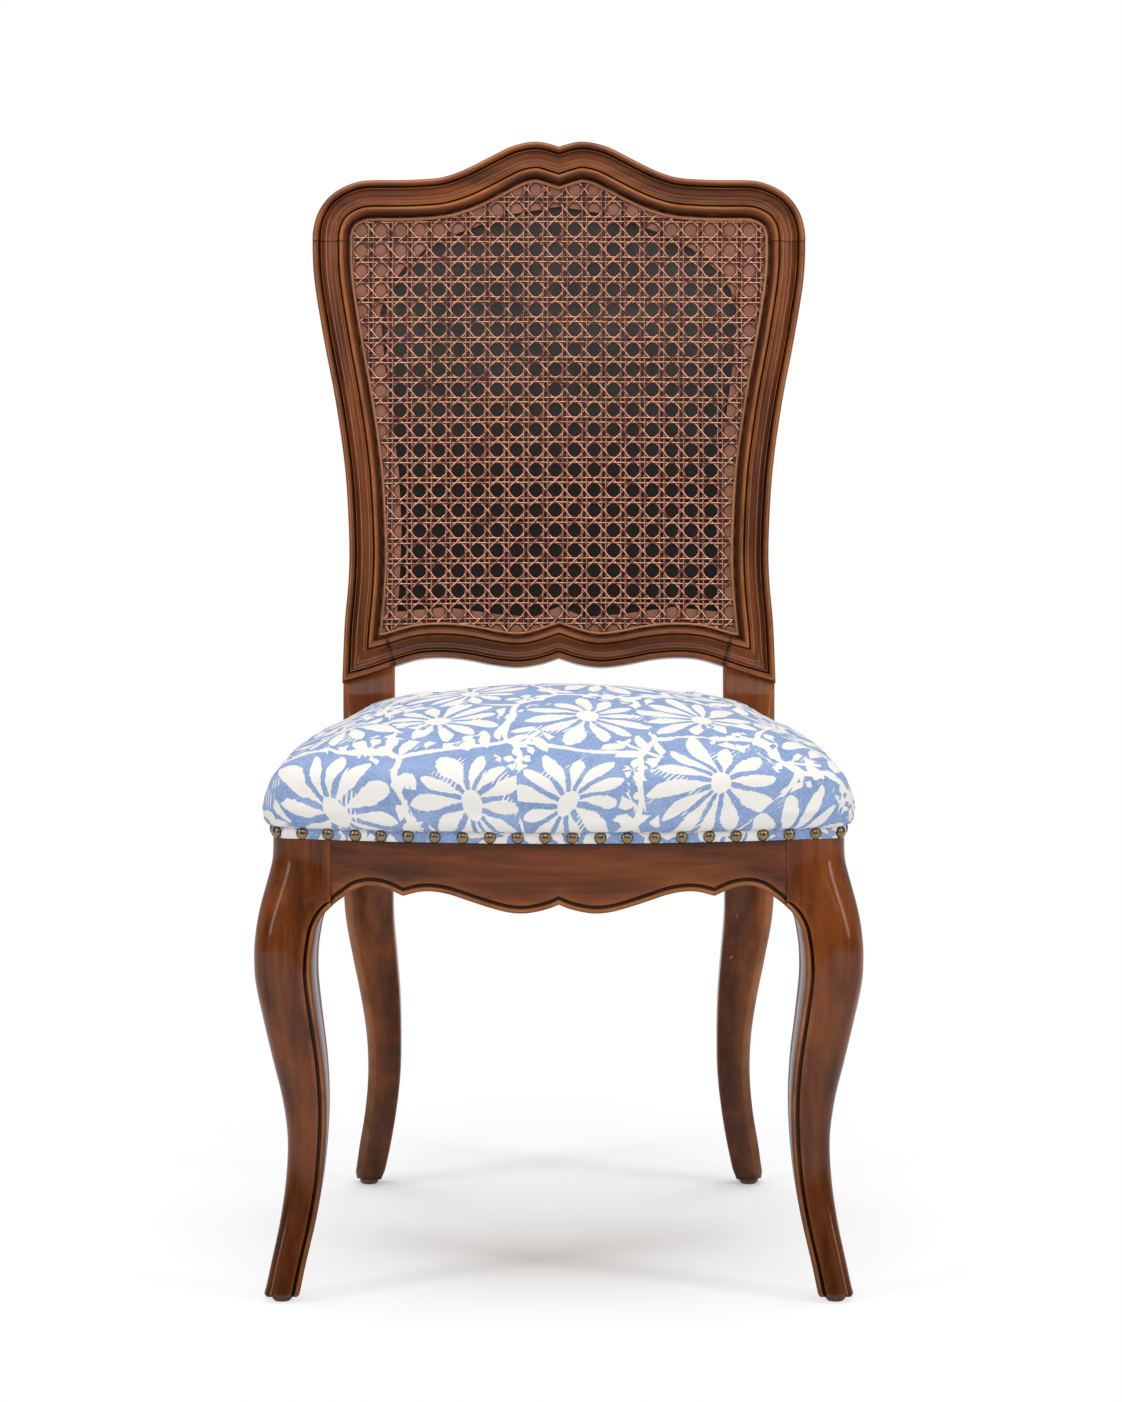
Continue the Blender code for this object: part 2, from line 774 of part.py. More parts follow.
def front_leg_ring(z, outer, inner, radius, splay, bead, level, inset=0.0):
    """Ring of the right front leg at one height. The bead runs down both inner edges."""
    width = outer - inner
    arc = 4
    corner = []
    for i in range(arc + 1):
        angle = math.radians(90) * i / arc
        corner.append((radius - radius * math.cos(angle), radius - radius * math.sin(angle)))
    edge = width - splay
    side = [
        (edge - bead - BEAD_DEPTH * 0.6, 0.0),
        (edge - bead, BEAD_DEPTH),
        (edge - bead * 0.72, 0.0004),
        (edge - bead * 0.25, 0.0004),
        (edge, BEAD_DEPTH),
    ]
    back = [(width, width - POST_EASING), (width - POST_EASING, width)]
    mirror_side = [(q, p) for p, q in reversed(side)]
    ring = []
    for p, q in [*corner, *side, *back, *mirror_side]:
        x, y = front_leg_place(max(p, inset), max(q, inset), outer, level)
        ring.append(Vector((x, world_y(y), z)))
    return ring


def front_leg(name):
    """Right cabriole leg with its knee, beaded inner edges and the ears that meet the aprons."""
    rings = []
    curve = smooth_curve(FRONT_LEG, LEG_STEP_COUNT)
    for i, (z, outer, inner) in enumerate(curve):
        near, far = curve[max(i - 1, 0)], curve[min(i + 1, len(curve) - 1)]
        slope = (far[2] - near[2]) / (far[0] - near[0])
        bead = BEAD_WIDTH * math.hypot(1, slope)
        up = (z - FOOT_Z) / LEG_RISE
        knee = min(max((up - 0.121) / 0.689, 0), 1)
        radius = LEG_FOOT_RADIUS + (LEG_KNEE_RADIUS - LEG_FOOT_RADIUS) * knee
        splay = LEG_SPLAY * min(1, max(0, (0.934 - up) / 0.165))
        level = min(max((up - 0.81) / 0.193, 0), 1)
        rings.append(front_leg_ring(z, outer, inner, radius, splay, bead, level))
    for z, outer, inner in FRONT_BLOCK:
        share = (z - FRONT_LEG[-1][0]) / (BAND_BOTTOM - FRONT_LEG[-1][0])
        radius = LEG_KNEE_RADIUS + (LEG_TOP_RADIUS - LEG_KNEE_RADIUS) * share
        rings.append(front_leg_ring(z, outer, inner, radius, 0.0, BEAD_WIDTH, 1.0))
    bm = bmesh.new()
    add_rings(bm, rings)
    for face in bm.faces:
        face.normal_update()
    seam_y = world_y(SIDE_SEAM)
    for point, normal in (((LEG_SEAM, 0, 0), (1, 0, 0)), ((0, seam_y, 0), (0, -1, 0))):
        found = bmesh.ops.bisect_plane(
            bm,
            geom=[*bm.verts, *bm.edges, *bm.faces],
            plane_co=point,
            plane_no=normal,
            clear_inner=True,
        )
        edges = [e for e in found["geom_cut"] if isinstance(e, bmesh.types.BMEdge)]
        bmesh.ops.triangulate(bm, faces=bmesh.ops.edgeloop_fill(bm, edges=edges)["faces"], ngon_method="EAR_CLIP")
    leg = add_object(name, bm, WOOD, CHAIR)
    head = plan_prism(
        "leg_head", whole_loop(seat_outline(COVER_RECESS)), BAND_BOTTOM - 0.004, RAIL_TOP, HELPER, HELPERS
    )
    low, high = (LEG_SEAM, world_y(-0.1), RAIL_TOP - 0.04), (SEAT_FRONT_HALF + 0.1, seam_y, RAIL_TOP + 0.01)
    keep = helper_box("leg_keep", low, high)
    head = combine(head, [keep], "INTERSECT")
    return join(leg, head)


# Seat plan


def seat_outline(inset, rear_y=None):
    """Right half of the seat frame's plan, from the front centre to the rear, moved inward."""
    radius = max(LEG_TOP_RADIUS - inset, 0.004)
    rear = REAR_FACE - inset if rear_y is None else rear_y
    turn_x = SEAT_FRONT_HALF - inset - radius
    points = [(turn_x * i / 8, front_y(turn_x * i / 8) + inset) for i in range(9)]
    centre_y = front_y(turn_x) + inset + radius
    for degrees in (-62, -38, -14):
        angle = math.radians(degrees)
        points.append((turn_x + radius * math.cos(angle), centre_y + radius * math.sin(angle)))
    start = centre_y + radius * 0.5
    for i in range(8):
        y = start + (rear - start) * i / 7
        points.append((side_x(max(y, FRONT_BOW)) - inset, y))
    return points


def whole_loop(half):
    """Closed loop over a right half and its mirror image."""
    return half + [(-x, y) for x, y in reversed(half) if x > 1e-6]


def plan_prism(name, loop, low, high, finish, group):
    """Upright prism over a closed plan loop."""
    rings = [[Vector((x, world_y(y), z)) for x, y in loop] for z in (low, high)]
    return loft(name, rings, finish, group)


def post_front():
    """Depth of the foremost part of a rear post beside the seat."""
    return min(front for z, _, _, front, _ in REAR_LEG if z > REAR_APRON_BOTTOM)


def post_keep_out(clearance):
    """Boxes round the two rear posts, which what lies on the seat frame is cut back to."""
    low = (POST_INNER_HALF - clearance, world_y(post_front() - clearance), RAIL_TOP - 0.05)
    high = (SEAT_FRONT_HALF + 0.04, world_y(REAR_FACE + 0.09), RAIL_TOP + 0.2)
    mirror_low, mirror_high = (-high[0], low[1], low[2]), (-low[0], high[1], high[2])
    return helper_box("post_box_right", low, high), helper_box("post_box_left", mirror_low, mirror_high)


# Aprons


def apron_ring(place, bottom, slope, thickness=RAIL_THICKNESS):
    """Section of an apron: recess for the cover, plain face, groove, bead and square back."""
    bead = BEAD_WIDTH * math.hypot(1, slope)
    groove = BEAD_DEPTH * 0.6 * math.hypot(1, slope)
    section = [
        (COVER_RECESS, RAIL_TOP),
        (COVER_RECESS, BAND_BOTTOM),
        (0.0, BAND_BOTTOM),
        (0.0, bottom + bead + groove),
        (BEAD_DEPTH, bottom + bead),
        (0.0004, bottom + bead * 0.72),
        (0.0004, bottom + bead * 0.25),
        (BEAD_DEPTH, bottom),
        (thickness, bottom),
        (thickness, RAIL_TOP),
    ]
    return [place(depth, z) for depth, z in section]


def slopes(points):
    """Slope at each point of an edge, taken from its neighbours."""
    found = []
    for i in range(len(points)):
        a, b = points[max(i - 1, 0)], points[min(i + 1, len(points) - 1)]
        found.append((b[1] - a[1]) / (b[0] - a[0]))
    return found


def tenon_z():
    """Middle height of the aprons' tenons."""
    return RAIL_TOP - COVER_RECESS - 0.006 - TENON_HEIGHT / 2


def front_tenon(side, grow):
    """Tenon at one end of the front apron, or the mortise for it."""
    y = world_y(front_y(LEG_SEAM) + RAIL_THICKNESS * 0.62)
    z = tenon_z()
    half_t, half_h = TENON_THICKNESS / 2 + grow, TENON_HEIGHT / 2 + grow
    low = (LEG_SEAM - 0.008, y - half_t, z - half_h)
    high = (LEG_SEAM + TENON_LENGTH + grow, y + half_t, z + half_h)
    if side < 0:
        low, high = (-high[0], low[1], low[2]), (-low[0], high[1], high[2])
    return helper_box("front_tenon", low, high)


def front_apron():
    """Bowed front rail with a serpentine, beaded lower edge."""
    arch, middle = smooth_curve(FRONT_APRON_ARCH, 1), smooth_curve(FRONT_APRON_EDGE, 1)
    stations = list(zip(middle, slopes(middle)))[:-1] + list(zip(arch, slopes(arch)))
    last = stations[-1]
    stations[-1] = ((last[0][0] - JOINT_GAP, last[0][1]), last[1])
    rings = []
    for side, order in ((-1, reversed(stations)), (1, stations[1:])):
        for (x, bottom), slope in order:
            if side == -1 or x > 0:
                rings.append(
                    apron_ring(
                        lambda d, z, s=side, x=x: Vector((s * x, world_y(front_y(x) + d), z)), bottom, slope
                    )
                )
    rail = loft("front_apron", rings, WOOD, CHAIR)
    return join(rail, front_tenon(1, 0.0), front_tenon(-1, 0.0))


def side_tenon(end, grow):
    """Tenon at the front (0) or rear (1) end of the right side apron, or the mortise for it."""
    y_seam = (SIDE_SEAM, SEAT_DEPTH - 0.0015)[end]
    reach = (-1, 1)[end]
    x = side_x(y_seam) - RAIL_THICKNESS * 0.55
    lean = math.atan((SEAT_REAR_HALF - SEAT_FRONT_HALF) / (SEAT_DEPTH - FRONT_BOW))
    half_t, half_h = TENON_THICKNESS / 2 + grow, TENON_HEIGHT / 2 + grow
    length = TENON_LENGTH * (1.0 if end == 0 else 0.9) + grow
    low_y, high_y = sorted((-reach * 0.008, reach * length))
    return helper_box(
        "side_tenon",
        (-half_t, low_y, -half_h),
        (half_t, high_y, half_h),
        turn=-lean,
        centre=(x, world_y(y_seam), tenon_z()),
    )


def side_apron():
    """Right side rail, with the arch and bead that answer the front ones."""
    arch, rest = smooth_curve(SIDE_APRON_ARCH, 1), smooth_curve(SIDE_APRON_EDGE, 1)
    stations = list(zip(arch, slopes(arch)))[:-1] + list(zip(rest, slopes(rest)))
    first, last = stations[0], stations[-1]
    stations[0] = ((first[0][0] + JOINT_GAP, first[0][1]), first[1])
    stations[-1] = ((last[0][0] - 0.0022, last[0][1]), last[1])
    rings = []
    for (y, bottom), slope in stations:
        rings.append(
            apron_ring(lambda d, z, y=y: Vector((side_x(y) - d, world_y(y), z)), bottom, slope)
        )
    rail = loft("side_apron_right", rings, WOOD, CHAIR)
    return join(rail, side_tenon(0, 0.0), side_tenon(1, 0.0))


def rear_tenon(side, grow):
    """Tenon at one end of the rear apron, or the mortise for it."""
    y = world_y(REAR_APRON_FRONT + RAIL_THICKNESS * 0.5)
    z = tenon_z()
    half_t, half_h = TENON_THICKNESS / 2 + grow, TENON_HEIGHT / 2 + grow
    low = (POST_INNER_HALF - 0.008, y - half_t, z - half_h)
    high = (POST_INNER_HALF + TENON_LENGTH * 0.7 + grow, y + half_t, z + half_h)
    if side < 0:
        low, high = (-high[0], low[1], low[2]), (-low[0], high[1], high[2])
    return helper_box("rear_tenon", low, high)


def rear_apron():
    """Plain rear rail between the posts, recessed at the top behind for the cover."""
    rings = []
    end = POST_INNER_HALF - JOINT_GAP
    back = REAR_FACE
    section = [
        (REAR_APRON_FRONT, RAIL_TOP),
        (REAR_APRON_FRONT, REAR_APRON_BOTTOM),
        (back - 0.002, REAR_APRON_BOTTOM),
        (back, REAR_APRON_BOTTOM + 0.002),
        (back, BAND_BOTTOM),
        (back - COVER_RECESS, BAND_BOTTOM),
        (back - COVER_RECESS, RAIL_TOP),
    ]
    for x in (-end, end):
        rings.append([Vector((x, world_y(y), z)) for y, z in section])
    rail = loft("rear_apron", rings, WOOD, CHAIR)
    return join(rail, rear_tenon(1, 0.0), rear_tenon(-1, 0.0))


# Cane panel and its backing


def inside(loop, x, z):
    """Whether a point lies inside a closed loop."""
    found = False
    for (ax, az), (bx, bz) in zip(loop, loop[1:] + loop[:1]):
        if (az > z) != (bz > z) and x < ax + (bx - ax) * (z - az) / (bz - az):
            found = not found
    return found


def sheet_stations():
    """Every second station along the crest and all the others."""
    return STATIONS[:2] + STATIONS[2:CREST_JOINT:2] + STATIONS[CREST_JOINT:]


def back_loop(share, stations):
    """Closed loop round the whole back at a share of the moulding's width."""
    half = [across(pair, share) for pair in stations]
    return half + [(-x, z) for x, z in reversed(half) if x > 1e-6]


def strip_lines():
    """Upright lines that split a sheet finely enough to follow the back's hollow."""
    count = int(CREST_HALF / SHEET_STRIP)
    low, high = BACK_FOOT_Z - 0.02, CREST_TOP + 0.02
    return [((i * SHEET_STRIP, low), (i * SHEET_STRIP, high)) for i in range(-count, count + 1)]


def back_sheet(name, loops, lines, keep, front, thickness, finish):
    """Sheet that follows the hollow back, from flat loops, split lines and a rule for what stays."""
    points, edges = [], []
    for loop in loops:
        first = len(points)
        points += loop
        edges += [(first + i, first + (i + 1) % len(loop)) for i in range(len(loop))]
    for start, end in lines:
        edges.append((len(points), len(points) + 1))
        points += [start, end]
    flat, _, faces, *_ = delaunay_2d_cdt([Vector(p) for p in points], edges, [], 0, 0.000001)
    kept = []
    for face in faces:
        x = sum(flat[i][0] for i in face) / 3
        z = sum(flat[i][1] for i in face) / 3
        if keep(x, z):
            kept.append(face)
    bm = bmesh.new()
    layers = []
    for depth in (front, front + thickness):
        layers.append({i: bm.verts.new(back_point(*flat[i], depth)) for face in kept for i in face})
    rims = {}
    for a, b, c in kept:
        bm.faces.new([layers[0][i] for i in (a, b, c)])
        bm.faces.new([layers[1][i] for i in (c, b, a)])
        for edge in ((a, b), (b, c), (c, a)):
            if edge[::-1] in rims:
                del rims[edge[::-1]]
            else:
                rims[edge] = True
    for a, b in rims:
        bm.faces.new((layers[0][b], layers[0][a], layers[1][a], layers[1][b]))
    return add_object(name, bm, finish, CHAIR)


def cane_centres():
    """Centres of the cane's holes, on a square lattice clear of the back frame's inner edge."""
    loop = back_loop(1.0, STATIONS)
    reach = [(CANE_MARGIN * math.cos(a), CANE_MARGIN * math.sin(a)) for a in (i * math.pi / 6 for i in range(12))]
    low, high = min(z for _, z in loop), max(z for _, z in loop)
    rows, columns = int((high - low) / CANE_PITCH) + 1, int(CREST_HALF / CANE_PITCH) + 1
    centres = []
    for row in range(rows):
        z = low + CANE_PITCH * (row + 0.5)
        for column in range(-columns, columns):
            x = CANE_PITCH * (column + 0.5)
            if all(inside(loop, x + dx, z + dz) for dx, dz in reach):
                centres.append((x, z))
    return centres


def cane_panel():
    """Sheet of woven cane as a net: a board of strand width with one opening for each gap."""
    centres = cane_centres()
    holes = []
    for x, z in centres:
        turns = [(i + 0.5) * 2 * math.pi / CANE_SIDES for i in range(CANE_SIDES)]
        holes.append([(x + CANE_HOLE * math.cos(t), z + CANE_HOLE * math.sin(t)) for t in turns])
    outline = back_loop(PANEL_SHARE, sheet_stations())

    def keep(x, z):
        clear = CANE_HOLE * math.cos(math.pi / CANE_SIDES) * 0.98
        return inside(outline, x, z) and all(math.hypot(x - cx, z - cz) > clear for cx, cz in centres)

    front = REBATE_FRONT + SEAT_GAP
    return back_sheet("cane_panel", [outline, *holes], [], keep, front, CANE_THICKNESS, CANE)


def cane_spline():
    """Reed pressed round the edge of the cane."""
    low = REBATE_FRONT - SPLINE_HEIGHT
    section = [(SPLINE_SHARES[0], low), (SPLINE_SHARES[0], REBATE_FRONT), (SPLINE_SHARES[1], REBATE_FRONT)]
    section.append((SPLINE_SHARES[1], low))
    half = sheet_stations()
    rings = [station_ring(pair, section) for pair in half]
    rings += [station_ring(pair, section, -1) for pair in reversed(half[1:-1])]
    bm = bmesh.new()
    rows = add_rings(bm, rings, closed=False)
    count = len(section)
    for i in range(count):
        j = (i + 1) % count
        bm.faces.new((rows[-1][i], rows[-1][j], rows[0][j], rows[0][i]))
    return add_object("cane_spline", bm, REED, CHAIR)


def ledge_pieces():
    """Four flat pieces behind the cane's edge, which it is glued to."""
    outline = back_loop(PANEL_SHARE, sheet_stations())
    opening = LEDGE_OPENING + [(-x, z) for x, z in reversed(LEDGE_OPENING) if x > 0]
    half_gap = JOINT_GAP / 2
    cuts = [z + sign * half_gap for z in (LEDGE_TOP_JOINT, LEDGE_BOTTOM_JOINT) for sign in (-1, 1)]
    reach = CREST_HALF + 0.02
    lines = strip_lines() + [((-reach, z), (reach, z)) for z in cuts]
    wanted = {
        "ledge_top": lambda x, z: z > LEDGE_TOP_JOINT + half_gap,
        "ledge_bottom": lambda x, z: z < LEDGE_BOTTOM_JOINT - half_gap,
        "ledge_right": lambda x, z: x > 0 and cuts[3] < z < cuts[0],
        "ledge_left": lambda x, z: x < 0 and cuts[3] < z < cuts[0],
    }
    front = REBATE_FRONT + SEAT_GAP + CANE_THICKNESS + SEAT_GAP
    for name, region in wanted.items():

        def keep(x, z, region=region):
            return region(x, z) and inside(outline, x, z) and not inside(opening, x, z)

        back_sheet(name, [outline, opening], lines, keep, front, LEDGE_THICKNESS, WOOD)


def back_lining():
    """Dark board that closes the back behind the ledge."""
    outline = back_loop(PANEL_SHARE, sheet_stations())
    front = REBATE_FRONT + CANE_THICKNESS + LEDGE_THICKNESS + 3 * SEAT_GAP
    lines = strip_lines()
    return back_sheet(
        "back_lining", [outline], lines, lambda x, z: inside(outline, x, z), front, LINING_THICKNESS, LINING
    )


# Upholstery


def pad_surface(offset):
    """Rings of the seat pad's surface moved inward by an offset, and the point that closes its top."""
    levels = PAD_LEVELS
    rings = []
    for i, (z, over, share) in enumerate(levels):
        before, after = levels[max(i - 1, 0)], levels[min(i + 1, len(levels) - 1)]
        run = (after[1] - before[1]) + (after[2] - before[2]) * SEAT_FRONT_HALF
        rise = after[0] - before[0]
        length = math.hypot(run, rise)
        inset = -over + offset * rise / length / share
        low_z = z + offset * run / length
        rings.append([])
        for x, y in whole_loop(seat_outline(inset)):
            across, along = x / SEAT_FRONT_HALF, (y - PAD_CENTRE_Y) / PAD_CENTRE_Y
            x *= share * math.sqrt(1 - (1 - share) * along**2 / 2)
            y = PAD_CENTRE_Y * (1 + along * share * math.sqrt(1 - (1 - share) * across**2 / 2))
            rings[-1].append(Vector((x, world_y(y), low_z)))
    top = rings[-1][0].z + 0.0008
    return rings, Vector((0, world_y(PAD_CENTRE_Y), top))


def dome(bm, rings, top):
    """Skins open rings and closes the last one with a fan."""
    rows = add_rings(bm, rings, closed=False)
    peak = bm.verts.new(top)
    for a, b in zip(rows[-1], rows[-1][1:] + rows[-1][:1]):
        bm.faces.new((a, b, peak))
    return rows


def seat_board():
    """Plywood deck on top of the seat rails, notched round the posts."""
    low = RAIL_TOP + SEAT_GAP
    loop = whole_loop(seat_outline(COVER_RECESS))
    board = plan_prism("seat_board", loop, low, low + BOARD_THICKNESS, PLY, CHAIR)
    return cut(board, *post_keep_out(POST_CLEARANCE))


def seat_pad():
    """Crowned upholstery pad that bulges past the rails."""
    rings, top = pad_surface(COVER_THICKNESS + SEAT_GAP)
    floor_z = RAIL_TOP + BOARD_THICKNESS + 2 * SEAT_GAP
    bottom = [Vector((v.x * 0.985, v.y * 0.985, floor_z)) for v in rings[0]]
    bm = bmesh.new()
    rows = dome(bm, [bottom, *rings], top)
    base = bm.faces.new(rows[0])
    base.normal_update()
    bmesh.ops.triangulate(bm, faces=[base], ngon_method="EAR_CLIP")
    pad = add_object("seat_pad", bm, FOAM, CHAIR)
    return cut(pad, *post_keep_out(POST_CLEARANCE + 0.0005))


def skirt_rings(inset):
    """Lower rings of the seat cover, in the recess that runs round the rails."""
    loop = whole_loop(seat_outline(inset))
    return [[Vector((x, world_y(y), z)) for x, y in loop] for z in (BAND_BOTTOM + SEAT_GAP, RAIL_TOP + 0.001)]


def seat_cover():
    """Fabric over the pad, drawn down over the rails."""
    inner_inset = COVER_RECESS - SEAT_GAP
    outer, top = pad_surface(0.0)
    inner, under = pad_surface(COVER_THICKNESS)
    bm = bmesh.new()
    outside = dome(bm, skirt_rings(inner_inset - COVER_THICKNESS) + outer, top)
    within = dome(bm, skirt_rings(inner_inset) + inner, under)
    count = len(outside[0])
    for i in range(count):
        j = (i + 1) % count
        bm.faces.new((outside[0][i], within[0][i], within[0][j], outside[0][j]))
    cover = add_object("seat_cover", bm, FABRIC, CHAIR)
    return cut(cover, *post_keep_out(POST_CLEARANCE))


def nail_band():
    """Folded hem round the foot of the cover, with its nails: one piece in front, one at the rear."""
    inset = COVER_RECESS - 2 * SEAT_GAP - COVER_THICKNESS
    low = BAND_BOTTOM + SEAT_GAP
    split = world_y(post_front() - POST_CLEARANCE)
    for name, back in (("nail_band_front", False), ("nail_band_rear", True)):
        loop = whole_loop(seat_outline(inset - BAND_THICKNESS))
        band = plan_prism(name, loop, low, low + BAND_HEIGHT, FABRIC, CHAIR)
        core = plan_prism("core", whole_loop(seat_outline(inset)), low - 0.01, low + 0.03, HELPER, HELPERS)
        ends = (world_y(-0.1), split + 0.002) if back else (split, world_y(REAR_FACE + 0.1))
        reach = SEAT_FRONT_HALF + 0.04
        rest = helper_box("rest", (-reach, ends[0], RAIL_TOP - 0.1), (reach, ends[1], RAIL_TOP + 0.1))
        cut(band, core, rest, *(post_keep_out(POST_CLEARANCE) if back else ()))
        bm = bmesh.new()
        for place, outward in rear_nails(inset) if back else front_nails(inset):
            add_nail(bm, place, outward)
        join(band, add_object("nails", bm, HELPER, HELPERS))


def walk(points, start, spacing, count):
    """Evenly spaced places along a line of points: position and direction at each."""
    found = []
    for n in range(count):
        want = start + spacing * n
        for a, b in zip(points, points[1:]):
            length = math.dist(a, b)
            if want <= length:
                share = want / length
                place = tuple(p + (q - p) * share for p, q in zip(a, b))
                found.append((place, tuple((q - p) / length for p, q in zip(a, b))))
                break
            want -= length
    return found


def add_nail(bm, place, outward):
    """Domed nail head on the band, with its foot sunk to the middle of the band's thickness."""
    turn = math.atan2(outward[0], -outward[1])
    rings = []
    for radius, out in ((NAIL_RADIUS, -BAND_THICKNESS / 2), (NAIL_RADIUS * 0.55, NAIL_HEIGHT)):
        ring = []
        for i in range(NAIL_SIDES):
            angle = 2 * math.pi * i / NAIL_SIDES
            u, v = radius * math.cos(angle), radius * math.sin(angle)
            x = place[0] + u * math.cos(turn) + outward[0] * out
            y = place[1] + u * math.sin(turn) + outward[1] * out
            ring.append(Vector((x, world_y(y), BAND_BOTTOM + SEAT_GAP + BAND_HEIGHT / 2 + v)))
        rings.append(ring)
    add_rings(bm, rings)


def front_nails(inset):
    """Places and directions of the nails along the front and both sides."""
    half = seat_outline(inset - BAND_THICKNESS)
    stop = post_front() - POST_CLEARANCE - NAIL_RADIUS - 0.002
    length = 0.0
    for a, b in zip(half, half[1:]):
        if b[1] > stop:
            length += (stop - a[1]) / (b[1] - a[1]) * math.dist(a, b)
            break
        length += math.dist(a, b)
    count = int((length - NAIL_SPACING / 2) / NAIL_SPACING) + 1
    found = []
    for (x, y), (dx, dy) in walk(half, NAIL_SPACING / 2, NAIL_SPACING, count):
        found += [((x, y), (dy, -dx)), ((-x, y), (-dy, -dx))]
    return found


def rear_nails(inset):
    """Places and directions of the nails between the posts."""
    reach = POST_INNER_HALF - POST_CLEARANCE - NAIL_RADIUS - 0.002
    count = int(reach / NAIL_SPACING + 0.5)
    y = REAR_FACE - inset + BAND_THICKNESS
    return [((side * NAIL_SPACING * (n + 0.5), y), (0.0, 1.0)) for n in range(count) for side in (1, -1)]


# Hardware


def corner_block_plan(front):
    """Plan of a right-hand corner block."""
    g = JOINT_GAP
    if front:
        seam_x, seam_y = LEG_SEAM - g, SIDE_SEAM + g
        start_x, end_y = seam_x - BLOCK_WING, seam_y + BLOCK_WING
        return [
            (start_x, front_y(start_x) + RAIL_THICKNESS + g),
            (seam_x, front_y(seam_x) + RAIL_THICKNESS + g),
            (seam_x, seam_y),
            (side_x(seam_y) - RAIL_THICKNESS - g, seam_y),
            (side_x(end_y) - RAIL_THICKNESS - g, end_y),
        ]
    post_x, post_y = POST_INNER_HALF - g, post_front() - g
    start_y, end_x = post_y - BLOCK_WING, post_x - BLOCK_WING
    return [
        (side_x(start_y) - RAIL_THICKNESS - 1.6 * g, start_y),
        (side_x(post_y) - RAIL_THICKNESS - 1.6 * g, post_y),
        (post_x, post_y),
        (post_x, REAR_APRON_FRONT - g),
        (end_x, REAR_APRON_FRONT - g),
    ]


def screw_line(front):
    """Seat of a right-hand corner block screw's head and the way it points, in plan."""
    if front:
        corner = Vector((LEG_SEAM, SIDE_SEAM))
        way = Vector((1, -1)).normalized()
        return corner - way * 0.014, way
    return Vector((POST_INNER_HALF - BLOCK_WING * 0.5, REAR_APRON_FRONT - 0.011)), Vector((0, 1))


def block_screw(bm, side, front, grow=0.0, access=0.0):
    """Adds one corner block screw, or with growth and access the hole for it."""
    seat, way = screw_line(front)
    z = RAIL_TOP - BLOCK_DROP - BLOCK_HEIGHT / 2
    length = (FRONT_SCREW_LENGTH if front else REAR_SCREW_LENGTH) + grow

    def place(along):
        x, y = seat + way * along
        return side * x, world_y(y), z

    head = SCREW_HEAD_RADIUS + grow
    shank = SCREW_RADIUS + grow
    rings = []
    rods = ((-SCREW_HEAD_HEIGHT - access, head), (grow, head), (grow, shank), (length, shank))
    across_way = Vector((-way.y * side, way.x, 0)).normalized()
    for along, radius in rods:
        middle = Vector(place(along))
        turns = [2 * math.pi * i / 8 for i in range(8)]
        rings.append(
            [middle + across_way * radius * math.cos(t) + Vector((0, 0, radius * math.sin(t))) for t in turns]
        )
    add_rings(bm, rings)


def screw_hole(side, front):
    """Cutter for one corner block screw."""
    bm = bmesh.new()
    block_screw(bm, side, front, SEAT_GAP, 0.05)
    made = add_object("screw_hole", bm, HELPER, HELPERS)
    made.hide_render = True
    made.display_type = "WIRE"
    return made


def corner_blocks():
    """Four glue blocks inside the seat frame and the screws that hold them."""
    top = RAIL_TOP - BLOCK_DROP
    for place, front in (("front", True), ("rear", False)):
        plan = corner_block_plan(front)
        rings = [[Vector((x, world_y(y), z)) for x, y in plan] for z in (top - BLOCK_HEIGHT, top)]
        block = loft(f"corner_block_{place}_right", rings, BEECH, CHAIR)
        block = cut(block, screw_hole(1, front))
        mirrored(block, f"corner_block_{place}_left")
        for hand, side in (("right", 1), ("left", -1)):
            bm = bmesh.new()
            block_screw(bm, side, front)
            add_object(f"corner_screw_{place}_{hand}", bm, STEEL, CHAIR)


def foot_centre(front):
    """Middle of a right-hand foot."""
    if front:
        z, outer, inner = FRONT_LEG[0]
        ring = front_leg_ring(z, outer, inner, LEG_FOOT_RADIUS, 0.0, BEAD_WIDTH, 0.0)
        xs, ys = [v.x for v in ring], [v.y for v in ring]
        return (min(xs) + max(xs)) / 2, (min(ys) + max(ys)) / 2
    _, outer, inner, near, far = REAR_LEG[0]
    return (outer + inner) / 2, world_y((near + far) / 2)


def glide_pin(bm, side, front, grow=0.0):
    """Adds the pin of a glide, or the hole for it."""
    x, y = foot_centre(front)
    low = (side * x, y, FOOT_Z - 0.002)
    high = (side * x, y, FOOT_Z + GLIDE_PIN_LENGTH + grow)
    add_rod(bm, low, high, GLIDE_PIN_RADIUS + grow, 8)


def glides():
    """Round glides nailed under the four feet."""
    for place, front in (("front", True), ("rear", False)):
        for hand, side in (("right", 1), ("left", -1)):
            x, y = foot_centre(front)
            top = FOOT_Z - SEAT_GAP
            levels = ((GLIDE_RADIUS * 0.78, 0.0), (GLIDE_RADIUS, 0.0022), (GLIDE_RADIUS, top))
            levels += ((GLIDE_PIN_RADIUS, top), (GLIDE_PIN_RADIUS, top + GLIDE_PIN_LENGTH))
            turns = [2 * math.pi * i / 12 for i in range(12)]
            rings = [
                [Vector((side * x + r * math.cos(t), y + r * math.sin(t), z)) for t in turns] for r, z in levels
            ]
            loft(f"glide_{place}_{hand}", rings, GLIDE, CHAIR)


def pin_hole(front):
    """Cutter for the pin of a right-hand glide."""
    bm = bmesh.new()
    glide_pin(bm, 1, front, SEAT_GAP)
    made = add_object("pin_hole", bm, HELPER, HELPERS)
    made.hide_render = True
    made.display_type = "WIRE"
    return made


# Build order

for old in list(bpy.data.objects):
    bpy.data.objects.remove(old)

